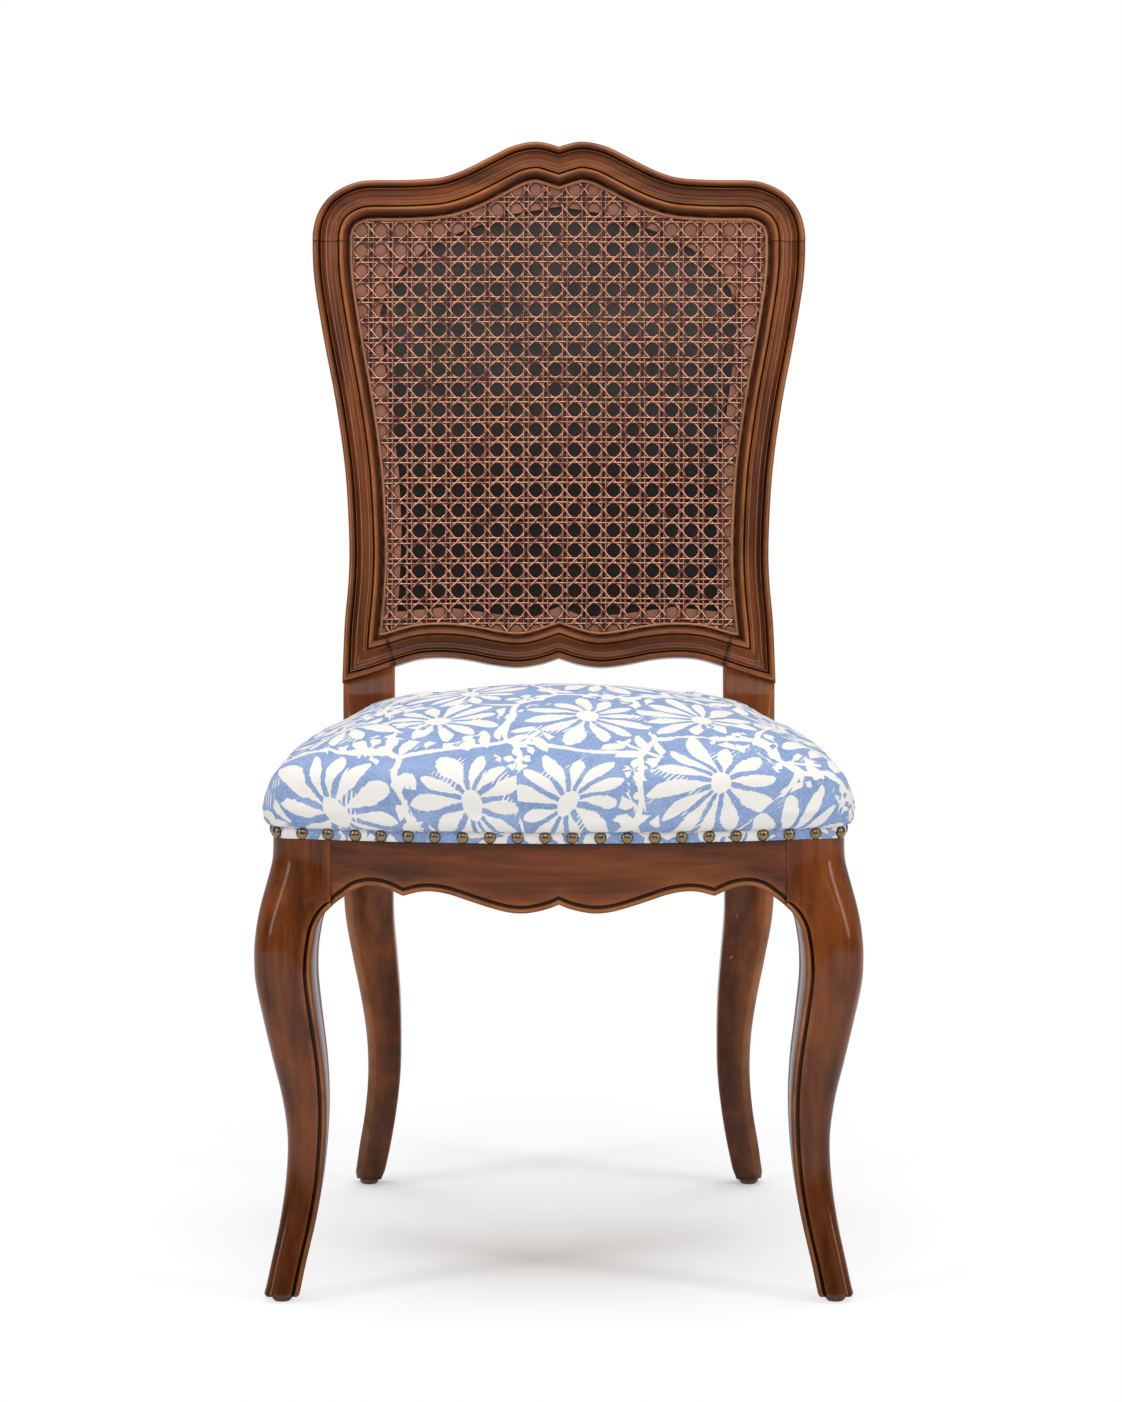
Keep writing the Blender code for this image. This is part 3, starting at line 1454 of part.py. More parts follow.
CHAIR = collection("cane_back_dining_chair")
HELPERS = collection("helpers")
HELPER = material("helper", (0.5, 0.5, 0.5), 0.5)
WOOD = material("walnut_stain", (0.105, 0.036, 0.014), 0.32)
BEECH = material("beech", (0.52, 0.36, 0.22), 0.6)
PLY = material("plywood", (0.55, 0.42, 0.28), 0.7)
CANE = material("cane", (0.32, 0.13, 0.08), 0.45)
REED = material("reed_spline", (0.36, 0.14, 0.07), 0.45)
LINING = material("back_lining", (0.04, 0.032, 0.028), 0.8)
FOAM = material("seat_foam", (0.82, 0.78, 0.66), 0.9)
FABRIC = material("seat_fabric", (0.35, 0.46, 0.72), 0.85)
BRASS = material("antique_brass", (0.25, 0.17, 0.08), 0.4, 1.0)
STEEL = material("zinc_steel", (0.55, 0.55, 0.57), 0.35, 1.0)
GLIDE = material("glide_plastic", (0.09, 0.045, 0.025), 0.5)
STATIONS, CREST_JOINT, LOWER_JOINT = back_stations()


def main():
    """Builds the chair."""
    crest = crest_rail(STATIONS, CREST_JOINT)
    cut(crest, dowel_hole(1), dowel_hole(-1))
    lower_back_rail(STATIONS, LOWER_JOINT)
    post = rear_post(STATIONS, CREST_JOINT, LOWER_JOINT)
    post = cut(post, side_tenon(1, SEAT_GAP), rear_tenon(1, SEAT_GAP), dowel_hole(1), pin_hole(False))
    leg = front_leg("front_leg_right")
    leg = cut(leg, front_tenon(1, SEAT_GAP), side_tenon(0, SEAT_GAP), screw_hole(1, True), pin_hole(True))
    front_apron()
    side = side_apron()
    cut(rear_apron(), screw_hole(1, False), screw_hole(-1, False))
    mirrored(post, "rear_post_left")
    mirrored(leg, "front_leg_left")
    mirrored(side, "side_apron_left")
    crest_dowels()
    corner_blocks()
    glides()
    cane_panel()
    cane_spline()
    ledge_pieces()
    back_lining()
    seat_board()
    seat_pad()
    seat_cover()
    nail_band()


main()
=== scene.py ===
"""Cane back dining chair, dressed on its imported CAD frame.

The wooden members, the woven cane, the printed seat and its nails are modelled here at full
detail, in the places that the CAD nodes hold. Units are metres, +Z is up, the chair faces -Y.
"""

import logging
import math
from dataclasses import dataclass, field
from enum import Enum
from typing import Callable, Iterable, Sequence, Union

import bmesh
import bpy
import numpy as np
from mathutils import Matrix, Vector, noise


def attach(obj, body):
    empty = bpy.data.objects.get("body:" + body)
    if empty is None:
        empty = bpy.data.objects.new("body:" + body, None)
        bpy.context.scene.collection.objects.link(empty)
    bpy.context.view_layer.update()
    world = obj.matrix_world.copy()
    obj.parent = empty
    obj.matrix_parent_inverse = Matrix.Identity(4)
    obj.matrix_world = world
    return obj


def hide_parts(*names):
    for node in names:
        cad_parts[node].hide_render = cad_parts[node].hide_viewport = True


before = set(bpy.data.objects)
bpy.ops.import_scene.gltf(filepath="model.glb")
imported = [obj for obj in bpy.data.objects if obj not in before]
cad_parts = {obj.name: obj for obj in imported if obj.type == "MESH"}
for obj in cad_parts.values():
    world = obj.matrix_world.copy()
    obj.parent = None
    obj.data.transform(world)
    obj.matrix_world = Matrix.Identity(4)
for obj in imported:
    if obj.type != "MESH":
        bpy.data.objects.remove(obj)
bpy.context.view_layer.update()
log = logging.getLogger("chair")

Point = tuple[float, ...]
# What a node's input takes: another node's output, a number, a vector, or a colour such as "#ffffff"
Feed = Union["Wire", str, float, Sequence[float]]
# A small rounded edge: shares of its width along one face, then down the other
EASED = ((1.0, 0.0), (0.45, 0.12), (0.12, 0.45), (0.0, 1.0))
ON_CENTRE = 1e-6


# Curves and tables


def smooth_curve(points: Sequence[Point], steps: int) -> list[Point]:
    """Draws a smooth curve through points.

    Args:
        points: the points that the curve passes through, of any equal length.
        steps: how many steps it makes between two of them.

    Returns:
        The points along the curve, the given ones among them.
    """
    ends = [
        tuple(2 * a - b for a, b in zip(points[0], points[1])),
        *points,
        tuple(2 * a - b for a, b in zip(points[-1], points[-2])),
    ]
    curve = []
    for i in range(1, len(ends) - 2):
        for t in (step / steps for step in range(steps)):
            place = (
                b + t * (c - a + t * (2 * a - 5 * b + 4 * c - d + t * (3 * b - a - 3 * c + d))) / 2
                for a, b, c, d in zip(*ends[i - 1 : i + 3])
            )
            curve.append(tuple(place))
    return [*curve, tuple(points[-1])]


def linear(code: str) -> tuple[float, float, float, float]:
    """Turns a written colour into the linear red, green, blue and alpha that a shader takes.

    Args:
        code: the colour as six hexadecimal digits after a hash sign.

    Returns:
        The four values, with an alpha of one.
    """
    shares = [int(code[i : i + 2], 16) / 255 for i in (1, 3, 5)]
    red, green, blue = (c / 12.92 if c <= 0.04045 else ((c + 0.055) / 1.055) ** 2.4 for c in shares)
    return red, green, blue, 1.0


def share_of(value: float, low: float, high: float) -> float:
    """How far a value has come from low to high, held between 0 and 1."""
    return min(max((value - low) / (high - low), 0.0), 1.0)


def between(rows: Sequence[Point], at: float, eased: bool = False) -> float:
    """Reads a table between its rows.

    Args:
        rows: places and values.
        at: the place asked for.
        eased: whether the value leaves and meets each row gently.

    Returns:
        The value, which is the nearest end's outside the table.
    """
    for (a, low), (b, high) in zip(rows, rows[1:]):
        if a <= at <= b:
            share = (at - a) / (b - a)
            if eased:
                share = 0.5 - 0.5 * math.cos(math.pi * share)
            return low + (high - low) * share
    return rows[0][1] if at < rows[0][0] else rows[-1][1]


def sloped(points: Sequence[Point]) -> list[tuple[float, float, float]]:
    """Adds the slope to each point of a line.

    Args:
        points: places and values.

    Returns:
        Place, value and slope of each point.
    """
    ends = zip([points[0], *points[:-1]], [*points[1:], points[-1]])
    return [(*at, (b[1] - a[1]) / (b[0] - a[0])) for at, (a, b) in zip(points, ends)]


def round_pairs(points: Sequence) -> Iterable[tuple]:
    """Each point with the next one, round a closed loop."""
    return zip(points, [*points[1:], points[0]])


def whole(half: Sequence[Point]) -> list[Point]:
    """Closes a right half, which starts on the centre line, with its mirror image."""
    return [*half, *((-x, y) for x, y in reversed(half) if x > ON_CENTRE)]


def within(loop: Sequence[Point], x: float, z: float) -> bool:
    """Tells whether a point lies inside a closed loop.

    Args:
        loop: corners of the loop.
        x: first coordinate of the point.
        z: second coordinate of the point.

    Returns:
        True inside the loop.
    """
    found = False
    for (ax, az), (bx, bz) in round_pairs(loop):
        if (az > z) != (bz > z) and x < ax + (bx - ax) * (z - az) / (bz - az):
            found = not found
    return found


def always(value: float) -> Callable[[float], float]:
    """A height or depth that is the same everywhere."""
    return lambda _: value


# Mesh making


@dataclass(frozen=True)
class Tone:
    """How dark a point of a section is from glazing and painted shade, and how light from wear and a painted
    highlight.
    """

    glaze_and_shade: float = 0.0
    rub_and_highlight: float = 0.0


PLAIN = Tone()
DARK = Tone(1.0)


def placed(name: str, data: bpy.types.ID) -> bpy.types.Object:
    """Makes an object of its data and links it into the scene."""
    made = bpy.data.objects.new(name, data)
    bpy.context.scene.collection.objects.link(made)
    return made


def grown(
    bm: bmesh.types.BMesh, edges: Sequence[bmesh.types.BMEdge], verts: Sequence[bmesh.types.BMVert]
) -> tuple[list[bmesh.types.BMVert], list[bmesh.types.BMEdge]]:
    """Extrudes an open rim once, in place.

    Args:
        bm: the mesh.
        edges: edges of the rim.
        verts: vertices of the rim.

    Returns:
        The new vertex of each given one, and the edges of the new rim.
    """
    made = bmesh.ops.extrude_edge_only(bm, edges=edges)["geom"]
    fresh = {g for g in made if isinstance(g, bmesh.types.BMVert)}
    after = [next(e.other_vert(v) for e in v.link_edges if e.other_vert(v) in fresh) for v in verts]
    return after, [g for g in made if isinstance(g, bmesh.types.BMEdge) and set(g.verts) <= fresh]


def open_rim(bm: bmesh.types.BMesh) -> tuple[list[bmesh.types.BMEdge], list[bmesh.types.BMVert]]:
    """Edges and vertices of a mesh's open rim."""
    edges = [e for e in bm.edges if e.is_boundary]
    return edges, list({v for e in edges for v in e.verts})


class Shape:
    """A mesh in the making, with each point's darkening by glazing and painted shade, and lightening by wear
    and painted highlight.
    """

    def __init__(self) -> None:
        """Starts an empty mesh with its two tone layers."""
        self.bm = bmesh.new()
        self.glaze_and_shade = self.bm.verts.layers.float.new("glaze_and_shade")
        self.rub_and_highlight = self.bm.verts.layers.float.new("rub_and_highlight")

    def tint(self, verts: Sequence[bmesh.types.BMVert], tones: Sequence[Tone]) -> None:
        """Writes one tone on each vertex."""
        for vert, tone in zip(verts, tones):
            vert[self.glaze_and_shade], vert[self.rub_and_highlight] = tone.glaze_and_shade, tone.rub_and_highlight

    def sweep(
        self,
        rings: Sequence[Sequence[Vector]],
        tones: Sequence[Tone] | None = None,
        ends: Tone | None = None,
        joined: bool = False,
    ) -> "Shape":
        """Extrudes the first ring through all the others.

        Args:
            rings: closed rings of equal length.
            tones: tone of each point of a ring.
            ends: tone of the first and last ring, such as the dark line of a joint.
            joined: whether the last ring meets the first; otherwise both ends are capped.

        Returns:
            The shape itself.
        """
        tones = tones or [PLAIN] * len(rings[0])
        end_tones = [ends] * len(tones) if ends else tones
        verts = [self.bm.verts.new(place) for place in rings[0]]
        start = edges = [self.bm.edges.new(pair) for pair in round_pairs(verts)]
        self.tint(verts, end_tones)
        for number, ring in enumerate(rings[1:], 2):
            verts, edges = grown(self.bm, edges, verts)
            for vert, place in zip(verts, ring):
                vert.co = place
            self.tint(verts, end_tones if number == len(rings) else tones)
        if joined:
            bmesh.ops.bridge_loops(self.bm, edges=[*start, *edges])
        else:
            for rim in (start, edges):
                bmesh.ops.contextual_create(self.bm, geom=rim)
        return self

    def cut_off(self, point: Sequence[float], normal: Sequence[float], closed: bool = True) -> None:
        """Cuts away what lies behind a plane.

        Args:
            point: a point of the plane.
            normal: points to the side that stays.
            closed: whether the cut gets a face.
        """
        geometry = [*self.bm.verts, *self.bm.edges, *self.bm.faces]
        found = bmesh.ops.bisect_plane(
            self.bm, geom=geometry, plane_co=point, plane_no=normal, clear_inner=True
        )
        if closed:
            edges = [e for e in found["geom_cut"] if isinstance(e, bmesh.types.BMEdge)]
            bmesh.ops.edgeloop_fill(self.bm, edges=edges)

    def absorb(self, other: "Shape", keep: bool = False) -> None:
        """Takes over a copy of another shape's mesh.

        Args:
            other: the other shape.
            keep: whether that shape stays in use; otherwise it is freed.
        """
        mesh = bpy.data.meshes.new("absorbed")
        other.bm.to_mesh(mesh)
        self.bm.from_mesh(mesh)
        bpy.data.meshes.remove(mesh)
        if not keep:
            other.bm.free()

    def turned_over(self) -> "Shape":
        """Makes the mirror image for the chair's other side, with its faces outwards.

        Returns:
            The mirrored shape.
        """
        twin = Shape()
        twin.absorb(self, keep=True)
        bmesh.ops.scale(twin.bm, vec=(-1, 1, 1), verts=twin.bm.verts)
        bmesh.ops.reverse_faces(twin.bm, faces=twin.bm.faces)
        return twin

    def finish(self, name: str, material: bpy.types.Material, sharp: float = 38.0) -> bpy.types.Object:
        """Turns the mesh into an object at the origin.

        Args:
            name: name of the object.
            material: its finish.
            sharp: angle in degrees past which an edge stays sharp.

        Returns:
            The new object.
        """
        bmesh.ops.remove_doubles(self.bm, verts=self.bm.verts, dist=0.000005)
        bmesh.ops.recalc_face_normals(self.bm, faces=self.bm.faces)
        mesh = bpy.data.meshes.new(name)
        self.bm.to_mesh(mesh)
        self.bm.free()
        mesh.shade_smooth()
        mesh.set_sharp_from_angle(angle=math.radians(sharp))
        mesh.materials.append(material)
        return placed(name, mesh)


def settle(piece: bpy.types.Object, slot: str, *nodes: str) -> None:
    """Puts a finished piece on the chair's one body and reports it.

    Args:
        piece: the new object.
        slot: a material slot of the record; not used.
        nodes: CAD nodes that it stands for.
    """
    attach(piece, "root")
    if nodes:
        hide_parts(*nodes)
    stands = ", ".join(nodes) or "nothing"
    log.info("%s: %d faces, stands for %s", piece.name, len(piece.data.polygons), stands)


def settle_pair(shape: Shape, material: bpy.types.Material, piece: str, node: str) -> None:
    """Finishes a right-hand shape and its mirror image and puts both on the chair.

    Args:
        shape: the right one.
        material: their finish.
        piece: name of the pieces, before the side.
        node: name of the CAD nodes, before the side.
    """
    for side, one in (("right", shape), ("left", shape.turned_over())):
        settle(one.finish(f"{piece}_{side}", material), "wood", f"{node}_{side}")


# Materials


class Wire:
    """Output of a node, which can be reckoned with like a number."""

    def __init__(self, graph: "Graph", socket: bpy.types.NodeSocket) -> None:
        """Keeps the output, and the graph that sums with it are added to."""
        self.graph = graph
        self.socket = socket

    def __add__(self, other: Feed) -> "Wire":
        """Sum."""
        return self.graph.math("ADD", self, other)

    def __sub__(self, other: Feed) -> "Wire":
        """Difference."""
        return self.graph.math("SUBTRACT", self, other)

    def __rsub__(self, other: Feed) -> "Wire":
        """Difference from a number."""
        return self.graph.math("SUBTRACT", other, self)

    def __mul__(self, other: Feed) -> "Wire":
        """Product."""
        return self.graph.math("MULTIPLY", self, other)

    def __truediv__(self, other: Feed) -> "Wire":
        """Quotient."""
        return self.graph.math("DIVIDE", self, other)

    def __pow__(self, other: Feed) -> "Wire":
        """Power."""
        return self.graph.math("POWER", self, other)

    def __abs__(self) -> "Wire":
        """Size without its sign."""
        return self.graph.math("ABSOLUTE", self)


class Graph:
    """A node tree, with short calls for the nodes that the finishes share."""

    def __init__(self, tree: bpy.types.NodeTree) -> None:
        """Takes the tree that nodes are added to."""
        self.tree = tree

    def feed(self, socket: bpy.types.NodeSocket, value: Feed) -> None:
        """Gives an input a link, a colour or a value.

        Args:
            socket: the input.
            value: what it gets.
        """
        if isinstance(value, Wire):
            self.tree.links.new(value.socket, socket)
        else:
            socket.default_value = linear(value) if isinstance(value, str) else value

    def add(self, kind: str, inputs: dict[Union[str, int], Feed] | None = None, **settings) -> bpy.types.Node:
        """Adds a node.

        Args:
            kind: its type, without the word ShaderNode in front.
            inputs: what its inputs get, by name or number.
            settings: its own properties.

        Returns:
            The node.
        """
        made = self.tree.nodes.new("ShaderNode" + kind)
        for key, value in settings.items():
            setattr(made, key, value)
        for key, value in (inputs or {}).items():
            self.feed(made.inputs[key], value)
        return made

    def node(
        self, kind: str, inputs: dict[Union[str, int], Feed] | None = None, out: str | int = 0, **settings
    ) -> Wire:
        """Adds a node, as add does, and gives one of its outputs.

        Args:
            kind: its type.
            inputs: what its inputs get.
            out: name or number of the output.
            settings: its own properties.

        Returns:
            The output.
        """
        return Wire(self, self.add(kind, inputs, **settings).outputs[out])

    def math(self, operation: str, a: Feed, b: Feed = 0.0, clamp: bool = False) -> Wire:
        """Reckons with one or two values.

        Args:
            operation: name of the operation.
            a: first value.
            b: second value.
            clamp: whether the result stays between 0 and 1.

        Returns:
            The result.
        """
        return self.node("Math", {0: a, 1: b}, operation=operation, use_clamp=clamp)

    def larger(self, a: Feed, b: Feed) -> Wire:
        """The larger of two values, which joins two shapes that are positive inside."""
        return self.math("MAXIMUM", a, b)

    def lesser(self, a: Feed, b: Feed) -> Wire:
        """The lesser of two values, which keeps what two shapes share."""
        return self.math("MINIMUM", a, b)

    def axes(self, vector: Feed) -> list[Wire]:
        """The three parts of a vector."""
        return [Wire(self, part) for part in self.add("SeparateXYZ", {0: vector}).outputs]

    def mix(self, share: Feed, a: Feed, b: Feed) -> Wire:
        """Mixes two colours: a share of 0 gives the first, and 1 the second."""
        return self.node("Mix", {0: share, 6: a, 7: b}, 2, data_type="RGBA")

    def ramp(self, value: Feed, low: float, high: float) -> Wire:
        """Stretches a value so that low becomes 0 and high becomes 1, clamped."""
        return self.node("MapRange", {0: value, 1: low, 2: high})

    def noise(self, vector: Feed, scale: float, detail: float = 3.0, rough: float = 0.5) -> Wire:
        """Makes noise.

        Args:
            vector: its coordinates.
            scale: how many of its lumps fit in a metre.
            detail: how many finer layers it has.
            rough: how strong those are.

        Returns:
            Its value.
        """
        return self.node("TexNoise", {"Vector": vector, "Scale": scale, "Detail": detail, "Roughness": rough})

    def scaled(self, vector: Feed, scale: Sequence[float], turn: Sequence[float] = (0, 0, 0)) -> Wire:
        """Turns coordinates by angles in degrees and stretches them by a factor along each axis."""
        rotation = tuple(math.radians(a) for a in turn)
        return self.node("Mapping", {"Vector": vector, "Scale": scale, "Rotation": rotation})

    def times(self, vector: Feed, factor: float) -> Wire:
        """A vector made longer by a factor."""
        return self.node("VectorMath", {0: vector, "Scale": factor}, operation="SCALE")

    def plus(self, vector: Feed, other: Feed) -> Wire:
        """Sum of two vectors."""
        return self.node("VectorMath", {0: vector, 1: other}, operation="ADD")

    def length(self, vector: Feed) -> Wire:
        """Length of a vector."""
        return self.node("VectorMath", {0: vector}, "Value", operation="LENGTH")

    def place(self) -> Wire:
        """Coordinates of the object itself."""
        return self.node("TexCoord", out="Object")

    def layer(self, name: str) -> Wire:
        """Value of a piece's own attribute."""
        return self.node("Attribute", out="Fac", attribute_name=name)

    def ray(self, kind: str) -> Wire:
        """1 for rays of a kind, such as Camera or Glossy, and 0 for others."""
        return self.node("LightPath", out=f"Is {kind} Ray")


class Paint(Graph):
    """The node tree of one material, with its shader."""

    def __init__(self, name: str) -> None:
        """Makes the material.

        Args:
            name: its name.
        """
        self.material = bpy.data.materials.new(name)
        self.material.use_nodes = True
        super().__init__(self.material.node_tree)
        self.shader = self.tree.nodes["Principled BSDF"]

    def bump(self, height: Feed, distance: float, strength: float = 1.0) -> None:
        """Gives the shader a bumpy surface.

        Args:
            height: the height's share.
            distance: how high a share of 1 stands, in metres.
            strength: how much of it shows.
        """
        made = self.node("Bump", {"Height": height, "Distance": distance, "Strength": strength})
        self.feed(self.shader.inputs["Normal"], made)

    def dress(self, colour: Feed, roughness: Feed, **values: float) -> bpy.types.Material:
        """Sets the shader's main inputs.

        Args:
            colour: base colour.
            roughness: roughness.
            values: other inputs by name, with _ for a space.

        Returns:
            The finished material.
        """
        self.feed(self.shader.inputs["Base Color"], colour)
        self.feed(self.shader.inputs["Roughness"], roughness)
        for key, value in values.items():
            self.shader.inputs[key.replace("_", " ")].default_value = value
        return self.material


class Grain(Enum):
    """Which way a member's grain runs: the turn, in degrees, that lays it along Z."""

    UPRIGHT = (0.0, 0.0, 0.0)
    RAKED = (11.0, 0.0, 0.0)
    ACROSS = (0.0, 90.0, 0.0)
    DEEP = (90.0, 0.0, 0.0)


@dataclass(frozen=True)
class GlazedWood:
    """Stained, glazed and lacquered hardwood: dark in its grooves from glazing and painted shade, lighter on
    its crowns from wear and painted highlights, and darker low down from painted shade where shaded_below is
    set.
    """

    name: str
    grain: Grain
    dark: str = "#421d0a"
    middle: str = "#683211"
    light: str = "#86451a"
    glaze_and_shade: str = "#140803"
    rubbed_and_highlight: str = "#c87a3c"
    nicked: str = "#c48d58"
    roughness: float = 0.29
    pore_share: float = 0.35
    rub_and_highlight_share: float = 0.72
    glaze_and_shade_share: float = 0.96
    nick_share: float = 0.45
    floor_shade_share: float = 0.5
    shaded_below: float = 0.0

    def material(self) -> bpy.types.Material:
        """Builds the node tree.

        Returns:
            The material.
        """
        g = Paint(self.name)
        place = g.scaled(g.place(), (1, 1, 1), self.grain.value)
        streaks = g.noise(g.scaled(place, (1, 1, 0.07)), 48.0, 5.0, 0.6)
        pores = g.noise(g.scaled(place, (1, 1, 0.025)), 520.0, 2.0, 0.6)
        cloud = g.noise(place, 9.0, 3.0, 0.55)
        shade = streaks * 0.8 + cloud * 0.2
        colour = g.mix(g.ramp(shade, 0.36, 0.52), self.dark, self.middle)
        colour = g.mix(g.ramp(shade, 0.50, 0.68), colour, self.light)
        colour = g.mix(g.ramp(pores, 0.60, 0.75) * self.pore_share, colour, self.glaze_and_shade)
        # Lighter on crowns and edges: wear, together with painted highlights on ridges and upturned faces.
        worn_and_highlit = g.layer("rub_and_highlight") ** 1.6 * g.ramp(g.noise(place, 26.0, 4.0, 0.6), 0.2, 0.6)
        colour = g.mix(worn_and_highlit * self.rub_and_highlight_share, colour, self.rubbed_and_highlight)
        # Darker in grooves and recesses: glazing, together with painted shade on downturned and hidden faces.
        glazed_and_shaded = g.layer("glaze_and_shade") * g.ramp(g.noise(place, 60.0), 0.0, 0.42)
        colour = g.mix(glazed_and_shaded * self.glaze_and_shade_share, colour, self.glaze_and_shade)
        # Painted shade: the wood darkens towards the floor, below the height shaded_below.
        if self.shaded_below:
            low = 1.0 - g.ramp(g.axes(g.place())[2], 0.0, self.shaded_below)
            colour = g.mix(low * self.floor_shade_share, colour, self.glaze_and_shade)
        nicks = g.noise(g.scaled(place, (1.0, 1.6, 0.35), (31.0, 12.0, 24.0)), 70.0, 2.0, 0.35)
        colour = g.mix(g.ramp(nicks, 0.80, 0.81) * self.nick_share, colour, self.nicked)
        g.bump(streaks * 0.5 + pores * 0.5, 0.00018, 0.6)
        rough = cloud * 0.14 + (self.roughness - 0.06)
        return g.dress(colour, rough, Coat_Weight=0.48, Coat_Roughness=0.12, Specular_IOR_Level=0.06)


@dataclass(frozen=True)
class PlainTimber:
    """Unfinished timber or board inside the chair, with a grain of its own."""

    name: str
    grain: Grain
    base: str
    streak: str
    roughness: float = 0.62
    layers: float = 0.0

    def material(self) -> bpy.types.Material:
        """Builds the node tree.

        Returns:
            The material.
        """
        g = Paint(self.name)
        place = g.scaled(g.place(), (1, 1, 1), self.grain.value)
        streaks = g.noise(g.scaled(place, (1, 1, 0.06)), 70.0, 5.0, 0.6)
        colour = g.mix(g.ramp(streaks, 0.35, 0.7), self.base, self.streak)
        if self.layers:
            band = g.math("PINGPONG", g.axes(g.place())[2], self.layers)
            colour = g.mix(g.ramp(band, self.layers * 0.45, self.layers * 0.55), colour, self.streak)
        g.bump(streaks, 0.0002)
        return g.dress(colour, self.roughness)


@dataclass(frozen=True)
class CaneFinish:
    """Stained cane strand, glossy outside and streaked along its fibres, with painted shade on its sides and
    a painted highlight along its upper side.
    """

    name: str = "woven_cane"
    base: str = "#662b18"
    pale: str = "#8f4327"
    dark: str = "#180906"
    painted_highlight: str = "#ffb68c"

    def material(self) -> bpy.types.Material:
        """Builds the node tree.

        Returns:
            The material.
        """
        g = Paint(self.name)
        place = g.place()
        fibre = g.noise(place, 260.0, 3.0, 0.6)
        colour = g.mix(g.ramp(g.noise(place, 7.0, 3.0, 0.6), 0.35, 0.65), self.base, self.pale)
        colour = g.mix(g.ramp(fibre, 0.45, 0.75) * 0.45, colour, self.dark)
        # Painted shade on the strand's sides.
        colour = g.mix(g.ramp(g.layer("glaze_and_shade"), 0.1, 0.8) * 0.9, colour, self.dark)
        # Painted highlight along the strand's upper side, broken up by noise.
        gleam = g.ramp(g.layer("rub_and_highlight"), 0.38, 0.8) * g.ramp(g.noise(place, 150.0, 2.0), 0.36, 0.52)
        colour = g.mix(gleam, colour, self.painted_highlight)
        g.bump(fibre, 0.0001, 0.5)
        return g.dress(colour, 0.3, Coat_Weight=0.3, Coat_Roughness=0.15)


@dataclass(frozen=True)
class Ledge:
    """Stained ledge behind the cane, with painted shadow of the strands everywhere but in round patches
    behind the holes.
    """

    pitch: tuple[float, float]
    start: tuple[float, float]
    hole: float = 0.0056
    fade: tuple[float, float] = (-0.0008, 0.0014)
    name: str = "ledge_stain_and_shadow"
    base: str = "#85503a"
    spot: str = "#996046"
    shaded: str = "#20100b"

    def material(self) -> bpy.types.Material:
        """Builds the node tree.

        Returns:
            The material.
        """
        g = Paint(self.name)
        place = g.place()
        colour = g.mix(g.ramp(g.noise(place, 40.0, 4.0, 0.6), 0.35, 0.65), self.base, self.spot)
        # Painted shadow: dark away from a round patch a little below each hole.
        across, _, up = g.axes(place)
        squares = []
        for at, pitch, start in zip((across, up), self.pitch, self.start):
            from_middle = (g.math("FRACT", (at - start) / pitch) - 0.5) * pitch
            squares.append(abs(from_middle) ** 2.0)
        away = g.math("SQRT", squares[0] + squares[1])
        shade = g.ramp(away, self.hole + self.fade[0], self.hole + self.fade[1])
        return g.dress(g.mix(shade * 0.9, colour, self.shaded), 0.5)


@dataclass(frozen=True)
class MattSheet:
    """Dull painted board with faint mottling, and painted shade that darkens it low down."""

    name: str
    base: str
    spot: str
    deep: str
    shade_between: tuple[float, float]
    roughness: float
    scale: float

    def material(self) -> bpy.types.Material:
        """Builds the node tree.

        Returns:
            The material.
        """
        g = Paint(self.name)
        place = g.place()
        colour = g.mix(g.ramp(g.noise(place, self.scale, 4.0, 0.6), 0.35, 0.65), self.base, self.spot)
        g.bump(g.noise(place, self.scale * 9, 2.0), 0.0001)
        # Painted shade: darker below the given heights.
        colour = g.mix(g.ramp(g.axes(place)[2], *self.shade_between), self.deep, colour)
        return g.dress(colour, self.roughness)


@dataclass(frozen=True)
class CastMetal:
    """Metal or moulded plastic with a patina that gathers at its edges."""

    name: str
    base: str
    patina: str
    roughness: float = 0.34
    metallic: float = 1.0

    def material(self) -> bpy.types.Material:
        """Builds the node tree.

        Returns:
            The material.
        """
        g = Paint(self.name)
        place = g.place()
        spots = g.noise(place, 380.0, 4.0, 0.65)
        # The tone layer adds patina, with painted shade, at a nail head's rim.
        cover = g.larger(g.layer("glaze_and_shade"), g.ramp(spots, 0.5, 0.72) * 0.7)
        g.bump(g.noise(place, 300.0, 2.0), 0.00025, 0.6)
        colour = g.mix(cover, self.base, self.patina)
        return g.dress(colour, spots * 0.16 + self.roughness, Metallic=self.metallic)


@dataclass(frozen=True)
class Flower:
    """Size of one kind of printed flower and the lattice that it is scattered on."""

    cell: float
    petals: int
    disc: float
    reach: float
    vary: float
    scatter: float
    shift: tuple[float, float, float] = (0.0, 0.0, 0.0)
    uneven: float = 0.13
    root: float = 0.40
    widening: float = 0.46
    bluntness: float = 3.4
    roundness: float = 0.7
    gap: float = 0.0005
    margin: float = 0.002


